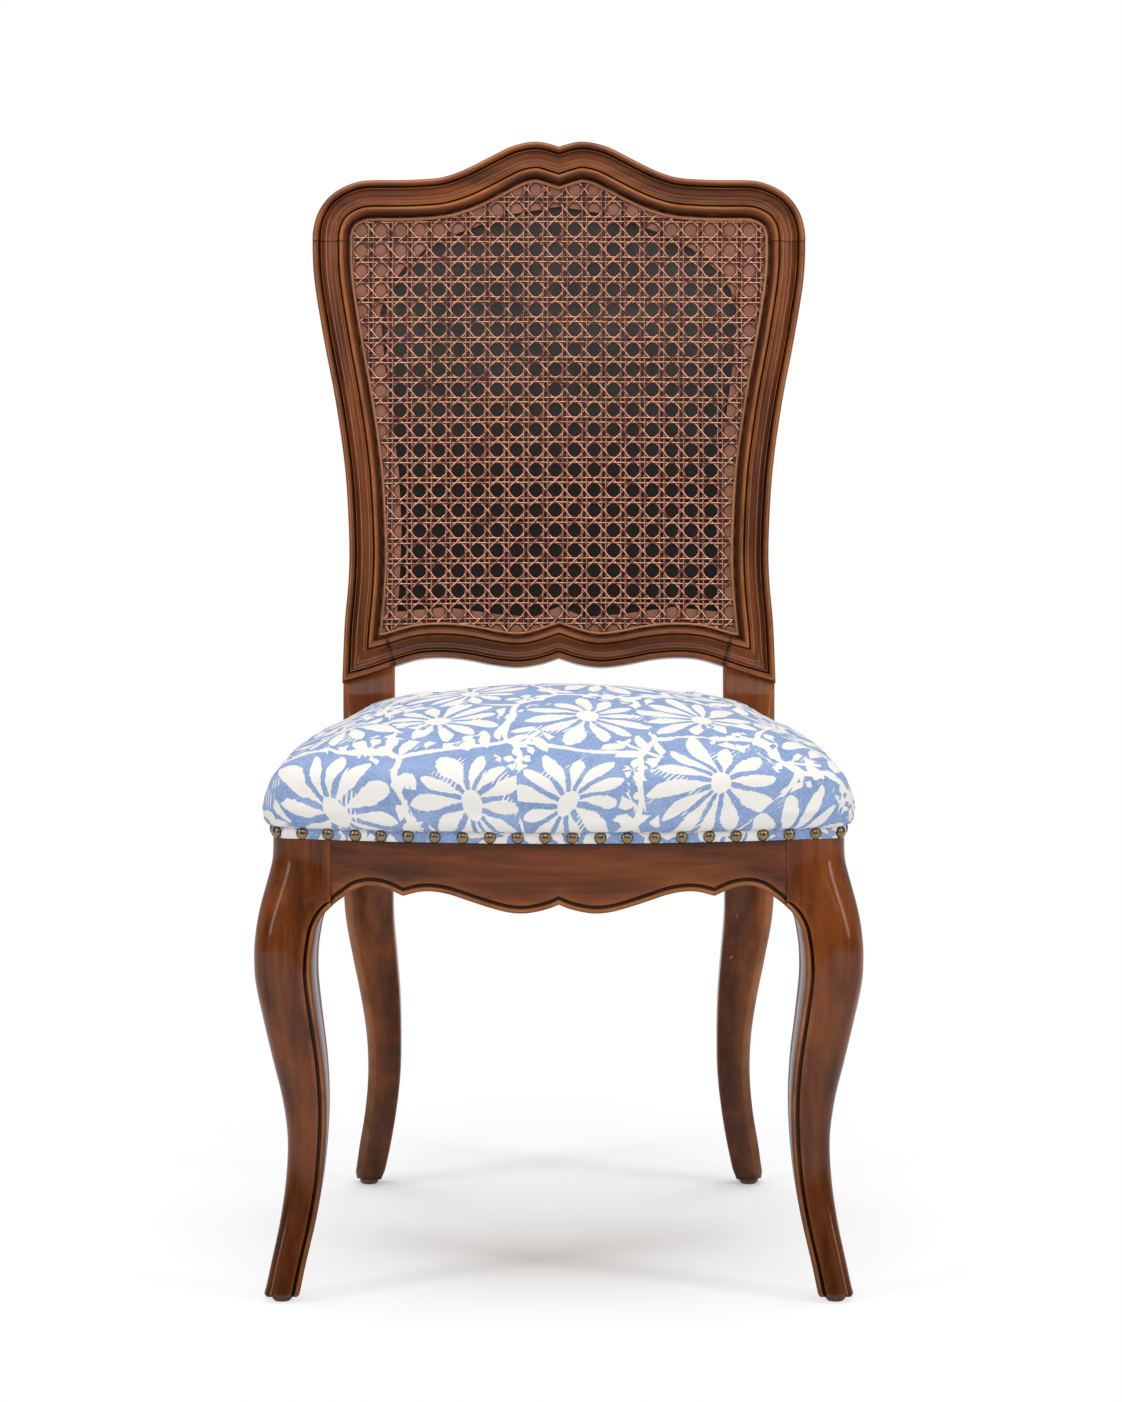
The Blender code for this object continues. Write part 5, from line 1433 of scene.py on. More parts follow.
@dataclass
class FrontLegs:
    """The two cabriole legs with beaded inner edges and ears that meet the aprons."""

    plan: SeatPlan
    bead: Bead = Bead()
    ear: float = 0.0152
    arch_drop: float = 0.0675
    top_radius: float = 0.023
    knee_radius: float = 0.021
    foot_radius: float = 0.010
    foot_easing: float = 0.0018
    easing: float = 0.003
    arc_steps: int = 12
    # Shares of the rise between which the outer corner grows round, and the faces start to bow
    rounding: tuple[float, float] = (0.121, 0.81)
    bowing: tuple[float, float] = (0.81, 1.003)
    # Shares of the block's width between which a show face sinks to the rail's
    sinking: tuple[float, float] = (0.35, 0.95)
    # Share of the rise, lean of the inner faces
    splays: tuple[Point, ...] = (
        (0.00, 0.0), (0.25, 0.0006), (0.45, 0.0019), (0.65, 0.0031), (0.83, 0.0048), (0.93, 0.0034),
        (0.985, 0.0), (1.10, 0.0),
    )
    # Share of the rise, bulge outside the seat's side face, width inward as a share of the block
    profile: tuple[Point, ...] = (
        (0.0000, 0.0085, 0.4344), (0.0771, 0.0024, 0.5453), (0.1763, -0.0053, 0.7043),
        (0.2810, -0.0108, 0.8299), (0.3857, -0.0125, 0.9039), (0.4876, -0.0082, 0.9316),
        (0.5895, -0.0001, 0.9020), (0.6915, 0.0078, 0.8299), (0.7906, 0.0147, 0.7652),
        (0.8623, 0.0163, 0.7560), (0.9091, 0.0155, 0.7856), (0.9477, 0.0137, 0.8318),
        (0.9752, 0.0118, 0.9224), (1.0000, 0.0097, 1.0850),
    )
    head: tuple[Point, ...] = ((0.2301, 0.0061), (0.4425, 0.0028), (0.6549, 0.0005), (1.0000, 0.0000))

    def place(self, p: float, q: float, outer: float, level: float) -> Point:
        """Plan place of a point of the right leg.

        Args:
            p: distance inward from the side face.
            q: distance inward from the front face.
            outer: outer edge of the leg at that height.
            level: 1 where the leg follows the seat's bowed faces, 0 where it is square.

        Returns:
            Distance from the centre line and depth.
        """
        plan = self.plan
        bulge = outer - plan.front_half
        forward = bulge * (1 - level * self.flush(p, q))
        outward = bulge * (1 - level * self.flush(q, p))
        x = plan.front_half - p
        y_seat = plan.front_y(min(x, plan.front_half)) + q
        x_seat = plan.side_x(max(y_seat, plan.front_bow)) - p
        y_square = plan.front_y(plan.front_half - plan.block * 0.4) + q
        return x + (x_seat - x) * level + outward, y_square + (y_seat - y_square) * level - forward

    def flush(self, along: float, deep: float) -> float:
        """Share by which a point of a show face has sunk to the face of the rail beside it.

        Args:
            along: distance from the leg's outer edge.
            deep: distance behind the show face.

        Returns:
            From 0, at the knee, to 1, at the joint.
        """
        near = share_of(along / self.plan.block, *self.sinking)
        return near * near * (3 - 2 * near) * share_of(3 * self.bead.depth - deep, 0.0, 2 * self.bead.depth)

    def section(self, width: float, radius: float, splay: float, stretch: float) -> list[Row]:
        """Section of the leg by distances inward from its two show faces.

        Args:
            width: its width.
            radius: radius of its outer corner.
            splay: how far the inner faces lean.
            stretch: how much wider than across the bead is along the level.

        Returns:
            Distances and tone of each point.
        """
        corner = []
        for i in range(self.arc_steps + 1):
            angle = math.radians(90) * i / self.arc_steps
            # Wear and painted highlight on the rounded corner, strongest where it meets each face.
            tone = Tone(0.0, 0.05 + 0.3 * math.cos(2 * angle) ** 2)
            corner.append((radius - radius * math.cos(angle), radius - radius * math.sin(angle), tone))
        bead, deep, e = self.bead.width * stretch, self.bead.depth, self.easing
        edge = width - splay
        groove = edge - bead
        lip = groove - self.bead.groove
        flat = lip - deep - radius
        # Glazing and painted shade in the groove, a painted highlight on the edge before it.
        side = [
            (radius + flat * 0.25, 0.0, Tone(0.0, 0.12)),
            (radius + flat * 0.50, 0.0, Tone(0.0, 0.05)),
            (radius + flat * 0.75, 0.0, Tone(0.0, 0.05)),
            (lip - deep * 0.75, 0.0, Tone(0.05, 0.6)),
            (lip - deep * 0.35, deep * 0.4, Tone(0.9)),
            (lip, deep, DARK),
            (groove, deep, DARK),
            *((groove + bead * far, sunk, tone) for far, sunk, tone in self.bead.crown()),
            (edge, deep, Tone(0.2, 0.2)),
        ]
        back = [(width - e * a, width - e * b, PLAIN) for a, b in reversed(EASED)]
        return [*corner, *side, *back, *((q, p, tone) for p, q, tone in reversed(side))]

    def shape(self) -> Shape:
        """Right leg from its foot to the underside of the seat's hem.

        Returns:
            The shape.
        """
        plan = self.plan
        foot, seam = plan.foot_height, plan.front_half - plan.block
        rise = plan.rail_top - self.arch_drop - foot
        rows = [
            (foot + rise * up, plan.front_half + bulge, plan.front_half - plan.block * width)
            for up, bulge, width in self.profile
        ]
        rings, tones = [], []

        def add_ring(section: list[Row], z: float, outer: float, level: float, least: float = 0.0) -> None:
            """Adds a ring at a height; least keeps its points that far inward."""
            spots = (self.place(max(p, least), max(q, least), outer, level) for p, q, _ in section)
            rings.append([plan.world(x, y, z) for x, y in spots])
            tones[:] = [tone for _, _, tone in section]

        curve = smooth_curve(rows, 6)
        curve.insert(1, (curve[0][0] + self.foot_easing, *curve[0][1:]))
        slopes = [slope for *_, slope in sloped([(z, inner) for z, _, inner in curve])]
        for number, ((z, outer, inner), slope) in enumerate(zip(curve, slopes)):
            up = (z - foot) / rise
            radius = self.foot_radius + (self.knee_radius - self.foot_radius) * share_of(up, *self.rounding)
            shrink = self.foot_easing if number == 0 else 0.0
            splay, stretch = between(self.splays, up), math.hypot(1, slope)
            section = self.section(outer - inner - shrink, radius, splay, stretch)
            add_ring(section, z, outer, share_of(up, *self.bowing), shrink)
        top, top_outer, _ = rows[-1]
        head = [(top + (plan.band_bottom - top) * up, plan.front_half + bulge, up) for up, bulge in self.head]
        for z, outer, up in smooth_curve([(top, top_outer, 0.0), *head], 4)[1:]:
            radius = self.knee_radius + (self.top_radius - self.knee_radius) * up
            add_ring(self.section(outer - seam + self.ear, radius, 0.0, 1.0), z, outer, 1.0)
        shape = Shape().sweep(rings, tones)
        shape.cut_off((seam, 0, 0), (1, 0, 0))
        shape.cut_off((0, plan.world_y(plan.front_bow + plan.block), 0), (0, -1, 0))
        return shape

    def build(self) -> None:
        """Builds and places the two legs."""
        material = GlazedWood("front_leg_wood", Grain.UPRIGHT, shaded_below=0.27).material()
        settle_pair(self.shape(), material, "cabriole", "front_leg")


@dataclass
class Aprons:
    """Front, side and rear rails of the seat, beaded along their serpentine lower edges."""

    plan: SeatPlan
    bead: Bead = Bead()
    rear_height: float = 0.0655
    tint_gap: float = 0.0012
    easing: float = 0.006
    # Share of the way from the centre to the arch, and drop below the top of the rails
    front_edge: tuple[Point, ...] = (
        (0.0000, 0.0662), (0.0571, 0.0695), (0.1286, 0.0723), (0.2214, 0.0743), (0.3286, 0.0733),
        (0.4571, 0.0687), (0.6014, 0.0622), (0.6979, 0.0579), (0.7943, 0.0555), (0.8907, 0.0558),
        (1.0000, 0.0599),
    )
    # Distance from the leg as a share of the arch's reach, and drop
    arch: tuple[Point, ...] = (
        (1.0000, 0.0599), (0.7515, 0.0531), (0.5291, 0.0513), (0.3344, 0.0550), (0.1503, 0.0637),
        (0.0000, 0.0715),
    )
    side_edge: tuple[Point, ...] = (
        (0.0000, 0.0599), (0.0595, 0.0553), (0.1592, 0.0567), (0.3196, 0.0647), (0.4799, 0.0667),
        (0.6580, 0.0617), (0.8361, 0.0563), (1.0000, 0.0553),
    )

    def section(self, bottom: float, slope: float) -> list[Row]:
        """Section of an apron as depth behind its face, height and tone.

        Args:
            bottom: height of its lower edge.
            slope: slope of that edge.

        Returns:
            The section's points.
        """
        plan = self.plan
        stretch = math.hypot(1, slope)
        bead, deep, gap = self.bead.width * stretch, self.bead.depth, self.bead.groove * stretch
        lip = bottom + bead
        high, low = plan.band_bottom - self.easing, lip + deep * 1.6 * stretch + gap
        return [
            (plan.recess, plan.rail_top, PLAIN),
            (plan.recess, plan.band_bottom, PLAIN),
            # Painted shadow under the hem band.
            (0.0, plan.band_bottom, Tone(0.6)),
            (0.0, plan.band_bottom - self.tint_gap, Tone(0.4)),
            *((0.0, high + (low - high) * i / 4, PLAIN) for i in range(4)),
            # Painted highlight on the edge above the bead's groove; glazing and painted shade in the groove.
            (0.0, lip + deep * 0.8 * stretch + gap, Tone(0.05, 0.5)),
            (deep * 0.4, lip + deep * 0.35 * stretch + gap, DARK),
            (deep, lip + gap, DARK),
            (deep, lip, DARK),
            *((sunk, lip - bead * far, tone) for far, sunk, tone in self.bead.crown()),
            (deep, bottom, Tone(0.2, 0.1)),
            (plan.rail * 0.5, bottom, PLAIN),
            (plan.rail - 0.001, bottom, PLAIN),
            (plan.rail, bottom + 0.001, PLAIN),
            (plan.rail, plan.rail_top, PLAIN),
        ]

    def beaded(
        self, edge: Sequence[Point], place: Callable[[float, float, float], Vector], ends: Tone
    ) -> Shape:
        """Sweeps the section along a lower edge.

        Args:
            edge: distance along, height and slope of each of its points.
            place: world place by the distance along, depth behind the face and height.
            ends: tone of the two ends.

        Returns:
            The shape.
        """
        sections = [self.section(bottom, slope) for _, bottom, slope in edge]
        rings = [[place(at, deep, z) for deep, z, _ in rows] for (at, *_), rows in zip(edge, sections)]
        return Shape().sweep(rings, [tone for _, _, tone in sections[0]], ends)

    def front(self) -> Shape:
        """Bowed front apron.

        Returns:
            The shape.
        """
        plan = self.plan
        seam, reach = plan.front_half - plan.block, plan.arch_reach
        middle = [((seam - reach) * part, plan.rail_top - drop) for part, drop in self.front_edge]
        arch = [(seam - reach * away, plan.rail_top - drop) for away, drop in self.arch]
        edge = sloped(smooth_curve(middle, 4)) + sloped(smooth_curve(arch, 5))[1:]
        x, *rest = edge[-1]
        edge[-1:] = [(x - self.tint_gap, *rest), (x - plan.joint_gap, *rest)]
        line = [(-x, *rest) for x, *rest in reversed(edge)] + edge[1:]
        return self.beaded(line, lambda x, deep, z: plan.world(x, plan.front_y(x) + deep, z), Tone(0.45))

    def side(self) -> Shape:
        """Right side apron.

        Returns:
            The shape.
        """
        plan = self.plan
        seam, reach = plan.front_bow + plan.block, plan.arch_reach
        start = seam + reach
        arch = [(seam + reach * away, plan.rail_top - drop) for away, drop in reversed(self.arch)]
        rest = [(start + (plan.depth - start) * part, plan.rail_top - drop) for part, drop in self.side_edge]
        edge = sloped(smooth_curve(arch, 5)) + sloped(smooth_curve(rest, 5))[1:]
        edge[0] = (edge[0][0] + plan.joint_gap, *edge[0][1:])
        edge[-1] = (edge[-1][0] - self.tint_gap, *edge[-1][1:])
        return self.beaded(edge, lambda y, deep, z: plan.world(plan.side_x(y) - deep, y, z), Tone(0.2))

    def rear(self) -> Shape:
        """Plain rear apron between the posts.

        Returns:
            The shape.
        """
        plan = self.plan
        end = plan.rear_half - plan.post_width - plan.joint_gap
        near, far = plan.depth + plan.rear_setback, plan.rear_face
        bottom = plan.rail_top - self.rear_height
        section = [
            (near, plan.rail_top),
            (near, bottom + 0.0012),
            (near + 0.0012, bottom),
            (far - 0.002, bottom),
            (far - 0.0006, bottom + 0.0006),
            (far, bottom + 0.002),
            (far, plan.band_bottom),
            (far - plan.recess, plan.band_bottom),
            (far - plan.recess, plan.rail_top),
        ]
        return Shape().sweep([[plan.world(x, y, z) for y, z in section] for x in (-end, end)])

    def build(self) -> None:
        """Builds and places the four rails."""
        across = GlazedWood("apron_wood", Grain.ACROSS, roughness=0.36).material()
        deep = GlazedWood("side_apron_wood", Grain.DEEP, roughness=0.36).material()
        settle(self.front().finish("front_rail", across), "wood", "front_apron")
        settle(self.rear().finish("rear_rail", across), "wood", "rear_apron")
        settle_pair(self.side(), deep, "side_rail", "side_apron")


@dataclass(frozen=True)
class Wave:
    """How a strand rises and dips, over and over, as it crosses the others."""

    # Where it starts, in repeats; length of a repeat; place in a repeat and height of each stop
    first: float
    unit: float
    stops: tuple[Point, ...]

    def height(self, far: float) -> float:
        """Height of the strand, as a share of its lift, by the distance from its start."""
        at = self.first + far / self.unit
        return between(self.stops, at - math.floor(at + 0.5), eased=True)


@dataclass
class CanePanel:
    """Six-way woven cane: pairs of uprights and of level strands, with single diagonals both ways."""

    outline: BackOutline
    # Width and height of one cell of the weave, and where one of its crossings lies in the back's plane
    cell: tuple[float, float] = (0.0188, 0.0192)
    origin: tuple[float, float] = (0.0059, 0.8218)
    half_pair: float = 0.00225
    width: float = 0.0018
    thickness: float = 0.0012
    hole_reach: float = 0.0073
    lift: float = 0.0005
    middle: float = 0.0124
    edge_share: float = 1.10
    wander: float = 0.0005
    steps: int = 6
    # Number of the first strand or pair, and of the one past the last, counted from the origin
    upright_span: tuple[int, int] = (-13, 14)
    level_span: tuple[int, int] = (-16, 13)
    diagonal_span: tuple[int, int] = (-28, 28)
    # How much of the light from above their upper sides catch
    upright_gleam: float = 0.70
    level_gleam: float = 0.92
    diagonal_gleam: float = 1.0
    # Section of a strand, flat behind and round in front: shares of half its width and thickness
    section: tuple[Point, ...] = (
        (-1.0, -0.3), (-0.7, 0.55), (0.0, 1.0), (0.7, 0.55), (1.0, -0.3), (0.0, -1.0),
    )

    def strand(
        self, shape: Shape, ends: tuple[Point, Point], wave: Wave, loop: Sequence[Point], gleam: float
    ) -> None:
        """Adds one strand, split where it leaves the panel.

        Args:
            shape: shape that it is added to.
            ends: its start and end in the back's plane.
            wave: its rise and fall.
            loop: the panel's edge.
            gleam: how much of the light from above its upper side catches.
        """
        (start_x, start_z), (end_x, end_z) = ends
        length = math.dist(*ends)
        way = ((end_x - start_x) / length, (end_z - start_z) / length)
        # Painted shade on both sides of the strand and a painted highlight along its upper side.
        tones = [DARK, Tone(0.6), Tone(0.0, 0.6 * gleam), Tone(0.0, gleam), Tone(0.7), DARK]
        lane = start_x * 31.0 + start_z * 47.0 + way[0] * 5.0
        count = max(int(length / (self.cell[0] / self.steps)), 2)
        run: list[list[Vector]] = []
        for i in range(count + 1):
            far = length * i / count
            drift = noise.noise((far * 42.0, lane, 0.5)) * self.wander
            x, z = start_x + way[0] * far - way[1] * drift, start_z + way[1] * far + way[0] * drift
            x, z = self.round_hole(x, z)
            inside = within(loop, x, z)
            if inside:
                run.append(self.ring(x, z, way, self.middle - wave.height(far) * self.lift))
            if run and (not inside or i == count):
                if len(run) > 2:
                    shape.absorb(Shape().sweep(run, tones))
                run = []

    def round_hole(self, x: float, z: float) -> Point:
        """Moves a point of a strand out of the nearest hole, which rounds the hole.

        Args:
            x: place across the back.
            z: place up the back.

        Returns:
            The moved place.
        """
        places = zip((x, z), self.origin, self.cell)
        aside, above = (((at - start) / size % 1.0 - 0.5) * size for at, start, size in places)
        away = math.hypot(aside, above)
        push = max(self.hole_reach - away, 0.0) / max(away, ON_CENTRE)
        return x + aside * push, z + above * push

    def ring(self, x: float, z: float, way: Point, deep: float) -> list[Vector]:
        """Ring of a strand.

        Args:
            x: place across the back.
            z: place up the back.
            way: direction of the strand.
            deep: depth of its middle.

        Returns:
            Places of the ring's points.
        """
        half, thick = self.width / 2, self.thickness / 2
        point = self.outline.plane.point
        return [
            point(x - way[1] * half * aside, z + way[0] * half * aside, deep - front * thick)
            for aside, front in self.section
        ]

    def pairs(self, loop: Sequence[Point], upright: bool) -> Shape:
        """The pairs of strands that run up the back or across it.

        Args:
            loop: the panel's edge.
            upright: whether they run up.

        Returns:
            The shape.
        """
        shape = Shape()
        along, aside = (1, 0) if upright else (0, 1)
        ends = [pick(point[along] for point in loop) for pick in (min, max)]
        unit = self.cell[along]
        share, first = self.half_pair / unit, (ends[0] - self.origin[along]) / unit
        gleam = self.upright_gleam if upright else self.level_gleam
        for number in range(*(self.upright_span if upright else self.level_span)):
            for sign in (-1, 1):
                at = self.origin[aside] + number * self.cell[aside] + sign * self.half_pair
                over = sign if upright else -sign
                wave = Wave(first, unit, ((-0.5, 0.0), (-share, over), (share, -over), (0.5, 0.0)))
                start, end = ((at, far) if upright else (far, at) for far in ends)
                self.strand(shape, (start, end), wave, loop, gleam)
        return shape

    def diagonals(self, loop: Sequence[Point], lean: int) -> Shape:
        """The single strands that lean one way, over the pairs of one kind and under the others.

        Args:
            loop: the panel's edge.
            lean: 1 for strands that rise to the right, -1 for those that fall.

        Returns:
            The shape.
        """
        shape = Shape()
        (left, low), (right, high) = (tuple(map(pick, zip(*loop))) for pick in (min, max))
        (pitch, rise), (first_x, first_z) = self.cell, self.origin
        steep = rise / pitch
        stops = ((-0.5, lean), (0.0, -lean), (0.5, lean))
        wave = Wave((left - first_x) / pitch, pitch * math.hypot(1.0, steep), stops)
        for number in range(*self.diagonal_span):
            start = first_z + (number + 0.5) * rise + lean * (left - first_x) * steep
            end = start + lean * (right - left) * steep
            if max(start, end) >= low and min(start, end) <= high:
                self.strand(shape, ((left, start), (right, end)), wave, loop, self.diagonal_gleam)
        return shape

    def build(self) -> None:
        """Builds and places the cane."""
        cane = CaneFinish().material()
        loop = self.outline.loop(self.edge_share)
        weaves = {
            "cane_uprights": self.pairs(loop, True),
            "cane_levels": self.pairs(loop, False),
            "cane_rising": self.diagonals(loop, 1),
            "cane_falling": self.diagonals(loop, -1),
        }
        for name, shape in weaves.items():
            settle(shape.finish(name, cane, 80.0), "cane", "cane_panel")


@dataclass
class Spline:
    """Reed pressed into the groove round the cane."""

    outline: BackOutline
    shares: tuple[float, float] = (1.035, 1.135)
    base: float = 0.0121
    height: float = 0.0022

    def build(self) -> None:
        """Builds and places the reed."""
        low, high = self.shares
        # Painted shade on the reed's two sides.
        tones = [Tone(0.8), Tone(0.3), *[PLAIN] * 5, Tone(0.3), Tone(0.8)]
        section = []
        for angle in np.linspace(0.0, math.pi, len(tones)):
            share = (low + high) / 2 - (high - low) / 2 * math.cos(angle)
            section.append((share, self.base - self.height * math.sin(angle)))
        ring, half = self.outline.ring, self.outline.stations
        rings = [ring(s, section) for s in half] + [ring(s, section, -1) for s in reversed(half[1:-1])]
        shape = Shape().sweep(rings, tones, joined=True)
        reed = CaneFinish("reed_spline", "#9b5b35", "#b87546", "#5a2f1a").material()
        settle(shape.finish("reed", reed, 60.0), "reed", "cane_spline")


@dataclass
class SeatCushion:
    """Crowned cushion in printed cotton, drawn down over the rails and tucked round the posts."""

    plan: SeatPlan
    centre_depth: float = 0.220
    crown: float = 0.5365
    belt: float = 0.4625
    rear_drop: float = 0.30
    overhang: float = 0.0090
    segments: int = 88
    cloth_shift: tuple[float, float] = (0.63, 0.385)
    swell: float = 4.0
    stiffness: tuple[tuple[str, float], ...] = (
        ("tension", 22.0), ("compression", 22.0), ("shear", 12.0), ("bending", 0.6),
    )
    frames: int = 20
    cap: float = 0.0035
    # Heights above the rails' top: cloth below the first stays still, and below the second is left
    # flat; the third is the board that the skin is closed over
    held_below: float = 0.012
    flat_below: float = 0.004
    board: float = 0.0096
    # Share of the way out from the crown, and share of the height above the belt
    dome: tuple[Point, ...] = (
        (0.000, 1.000), (0.220, 0.957), (0.440, 0.872), (0.610, 0.745), (0.730, 0.630), (0.810, 0.540),
        (0.880, 0.445), (0.930, 0.390), (0.965, 0.302), (0.985, 0.205), (0.996, 0.105), (1.000, 0.000),
    )
    # Below the belt: height above the rails' top, and overhang
    flank: tuple[Point, ...] = (
        (0.0205, 0.0088), (0.0150, 0.0084), (0.0100, 0.0076), (0.0055, 0.0072), (0.0020, 0.0052),
        (0.0004, 0.0036), (0.0002, 0.0015), (-0.0015, -0.0006), (-0.0100, -0.0008),
    )

    def rim(self, overhang: float) -> Callable[[float], float]:
        """Reads the seat's rim from its centre.

        Args:
            overhang: how far the rim lies outside the seat frame.

        Returns:
            Function that gives its distance from the centre in a direction.
        """
        dense = []
        for (ax, ay), (bx, by) in round_pairs(whole(self.plan.outline(-overhang))):
            dense += [(ax + (bx - ax) * i / 6, ay + (by - ay) * i / 6 - self.centre_depth) for i in range(6)]
        angles, lengths = np.array(sorted((math.atan2(y, x), math.hypot(x, y)) for x, y in dense)).T
        return lambda angle: float(np.interp(angle, angles, lengths, period=2 * math.pi))

    def surface(self) -> bpy.types.Object:
        """Open cushion skin from the crown to the hem, with its cloth coordinates.

        Returns:
            The object.
        """
        bm = bmesh.new()
        bmesh.ops.create_grid(bm, x_segments=self.segments, y_segments=self.segments, size=1.0)
        rim_at = self.rim(self.overhang)
        half_x, half_y = self.plan.front_half + self.overhang, self.centre_depth + self.overhang
        ways, rises = np.array(smooth_curve(self.dome, 8)).T
        tall = self.crown - self.belt
        # Direction from the centre, and length of cloth up to there, of each vertex
        spread: dict[bmesh.types.BMVert, tuple[float, float, float]] = {}
        for vert in bm.verts:
            u, v, _ = vert.co
            out = max(abs(u), abs(v))
            angle = math.atan2(v * half_y, u * half_x)
            cos, sin, rim = math.cos(angle), math.sin(angle), rim_at(angle)
            share = 0.55 * math.sin(out * math.pi / 2) + 0.45 * out
            oval = half_x * half_y / math.hypot(half_y * cos, half_x * sin)
            square = out**2.2
            length = share * (rim * square + oval * (1 - square) * 0.985)
            # The blend leaves the height to the true share of the way to the rim
            way = min(length / rim, 1.0) if out < 1 else 1.0
            rise = float(np.interp(way if out > 0.6 else share, ways, rises))
            rise *= 1 - self.rear_drop * max(sin, 0.0) * share**2
            vert.co = self.plan.world(length * cos, self.centre_depth + length * sin, self.belt + tall * rise)
            steps = np.linspace(0, way, 24)
            heights = np.interp(steps, ways, rises) * tall
            spread[vert] = (cos, sin, float(np.hypot(np.diff(steps) * rim, np.diff(heights)).sum()))
        edges, verts = open_rim(bm)
        for height, overhang in self.flank:
            rim_at, z = self.rim(overhang), self.plan.rail_top + height
            fresh, edges = grown(bm, edges, verts)
            for old, new in zip(verts, fresh):
                cos, sin, arc = spread[old]
                rim = rim_at(math.atan2(sin, cos))
                new.co = self.plan.world(rim * cos, self.centre_depth + rim * sin, z)
                spread[new] = (cos, sin, arc + (new.co - old.co).length)
            verts = fresh
        bmesh.ops.recalc_face_normals(bm, faces=bm.faces)
        if sum(f.normal.z for f in bm.faces) < 0:
            bmesh.ops.reverse_faces(bm, faces=bm.faces)
        cloth = bm.loops.layers.uv.new("cloth")
        across, deep = self.cloth_shift
        for loop in (loop for face in bm.faces for loop in face.loops):
            cos, sin, arc = spread[loop.vert]
            loop[cloth].uv = (cos * arc + across, sin * arc + deep)
        mesh = bpy.data.meshes.new("cushion")
        bm.to_mesh(mesh)
        bm.free()
        return placed("cushion", mesh)

    def inflate(self, skin: bpy.types.Object) -> None:
        """Lets the skin swell under pressure as cloth, held at its hem, and keeps the result.

        Args:
            skin: the cushion's skin.
        """
        held = skin.vertex_groups.new(name="hem")
        low = self.plan.rail_top + self.held_below
        held.add([v.index for v in skin.data.vertices if v.co.z < low], 1.0, "REPLACE")
        rest = np.empty(len(skin.data.vertices) * 3)
        skin.data.vertices.foreach_get("co", rest)
        cloth = skin.modifiers.new("cloth", "CLOTH")
        cloth.settings.vertex_group_mass = "hem"
        cloth.settings.use_pressure = True
        cloth.settings.uniform_pressure_force = self.swell
        for kind, value in self.stiffness:
            setattr(cloth.settings, f"{kind}_stiffness", value)
        cloth.settings.effector_weights.gravity = 0.0
        cloth.collision_settings.use_collision = False
        scene = bpy.context.scene
        for number in range(1, self.frames + 1):
            scene.frame_set(number)
        graph = bpy.context.evaluated_depsgraph_get()
        swollen = bpy.data.meshes.new_from_object(skin.evaluated_get(graph))
        moved = np.empty(len(swollen.vertices) * 3)
        swollen.vertices.foreach_get("co", moved)
        skin.modifiers.clear()
        scene.frame_set(1)
        bpy.data.meshes.remove(swollen)
        shift = (moved - rest).reshape(-1, 3)
        length = np.linalg.norm(shift, axis=1, keepdims=True)
        shift *= np.minimum(1.0, self.cap / np.maximum(length, 1e-9))
        skin.data.vertices.foreach_set("co", (rest.reshape(-1, 3) + shift).ravel())
        log.info("cushion swelled by up to %.1f mm", float(length.max()) * 1000)

    def tuck(self, skin: bpy.types.Object) -> None:
        """Draws the skin in round the two rear posts and gives it slight hollows and lumps.

        Args:
            skin: the cushion's skin.
        """
        side, front = self.plan.post_stop
        front = self.plan.world_y(front)
        for vert in skin.data.vertices:
            co = vert.co
            if co.z > self.plan.rail_top + self.flat_below:
                co.z += noise.noise(co * 9.0) * 0.0009 + noise.noise(co * 26.0) * 0.00035
            beside, behind = abs(co.x) - side, co.y - front
            if 0 < beside < behind:
                co.x = math.copysign(side, co.x)
            elif beside > 0 and behind > 0:
                co.y = front
        skin.data.update()

    def close(self, skin: bpy.types.Object) -> None:
        """Makes the skin finer and smoother, gives it an inner wall and closes it over the board.

        Args:
            skin: the cushion's skin.
        """
        bm = bmesh.new()
        bm.from_mesh(skin.data)
        bmesh.ops.subdivide_edges(bm, edges=bm.edges, cuts=1, use_grid_fill=True)
        every_axis = {f"use_axis_{axis}": True for axis in "xyz"}
        for _ in range(2):
            soft = [v for v in bm.verts if v.co.z > self.plan.rail_top + self.flat_below]
            bmesh.ops.smooth_vert(bm, verts=soft, factor=0.5, **every_axis)
        floor = self.plan.rail_top + self.board
        edges, verts = open_rim(bm)
        for share, height in ((0.9955, None), (1.0, floor), (0.94, floor)):
            verts, edges = grown(bm, edges, verts)
            for vert in verts:
                x, y, z = vert.co
                vert.co = (x * share, y * share, height or z)
        bmesh.ops.contextual_create(bm, geom=edges)
        bmesh.ops.recalc_face_normals(bm, faces=bm.faces)
        bm.to_mesh(skin.data)
        bm.free()

    def build(self) -> None:
        """Builds, swells, dresses and places the cushion."""
        skin = self.surface()
        self.inflate(skin)
        self.tuck(skin)
        self.close(skin)
        skin.data.shade_smooth()
        skin.data.materials.append(PrintedCotton().material())
        settle(skin, "fabric", "seat_cover", "seat_pad")


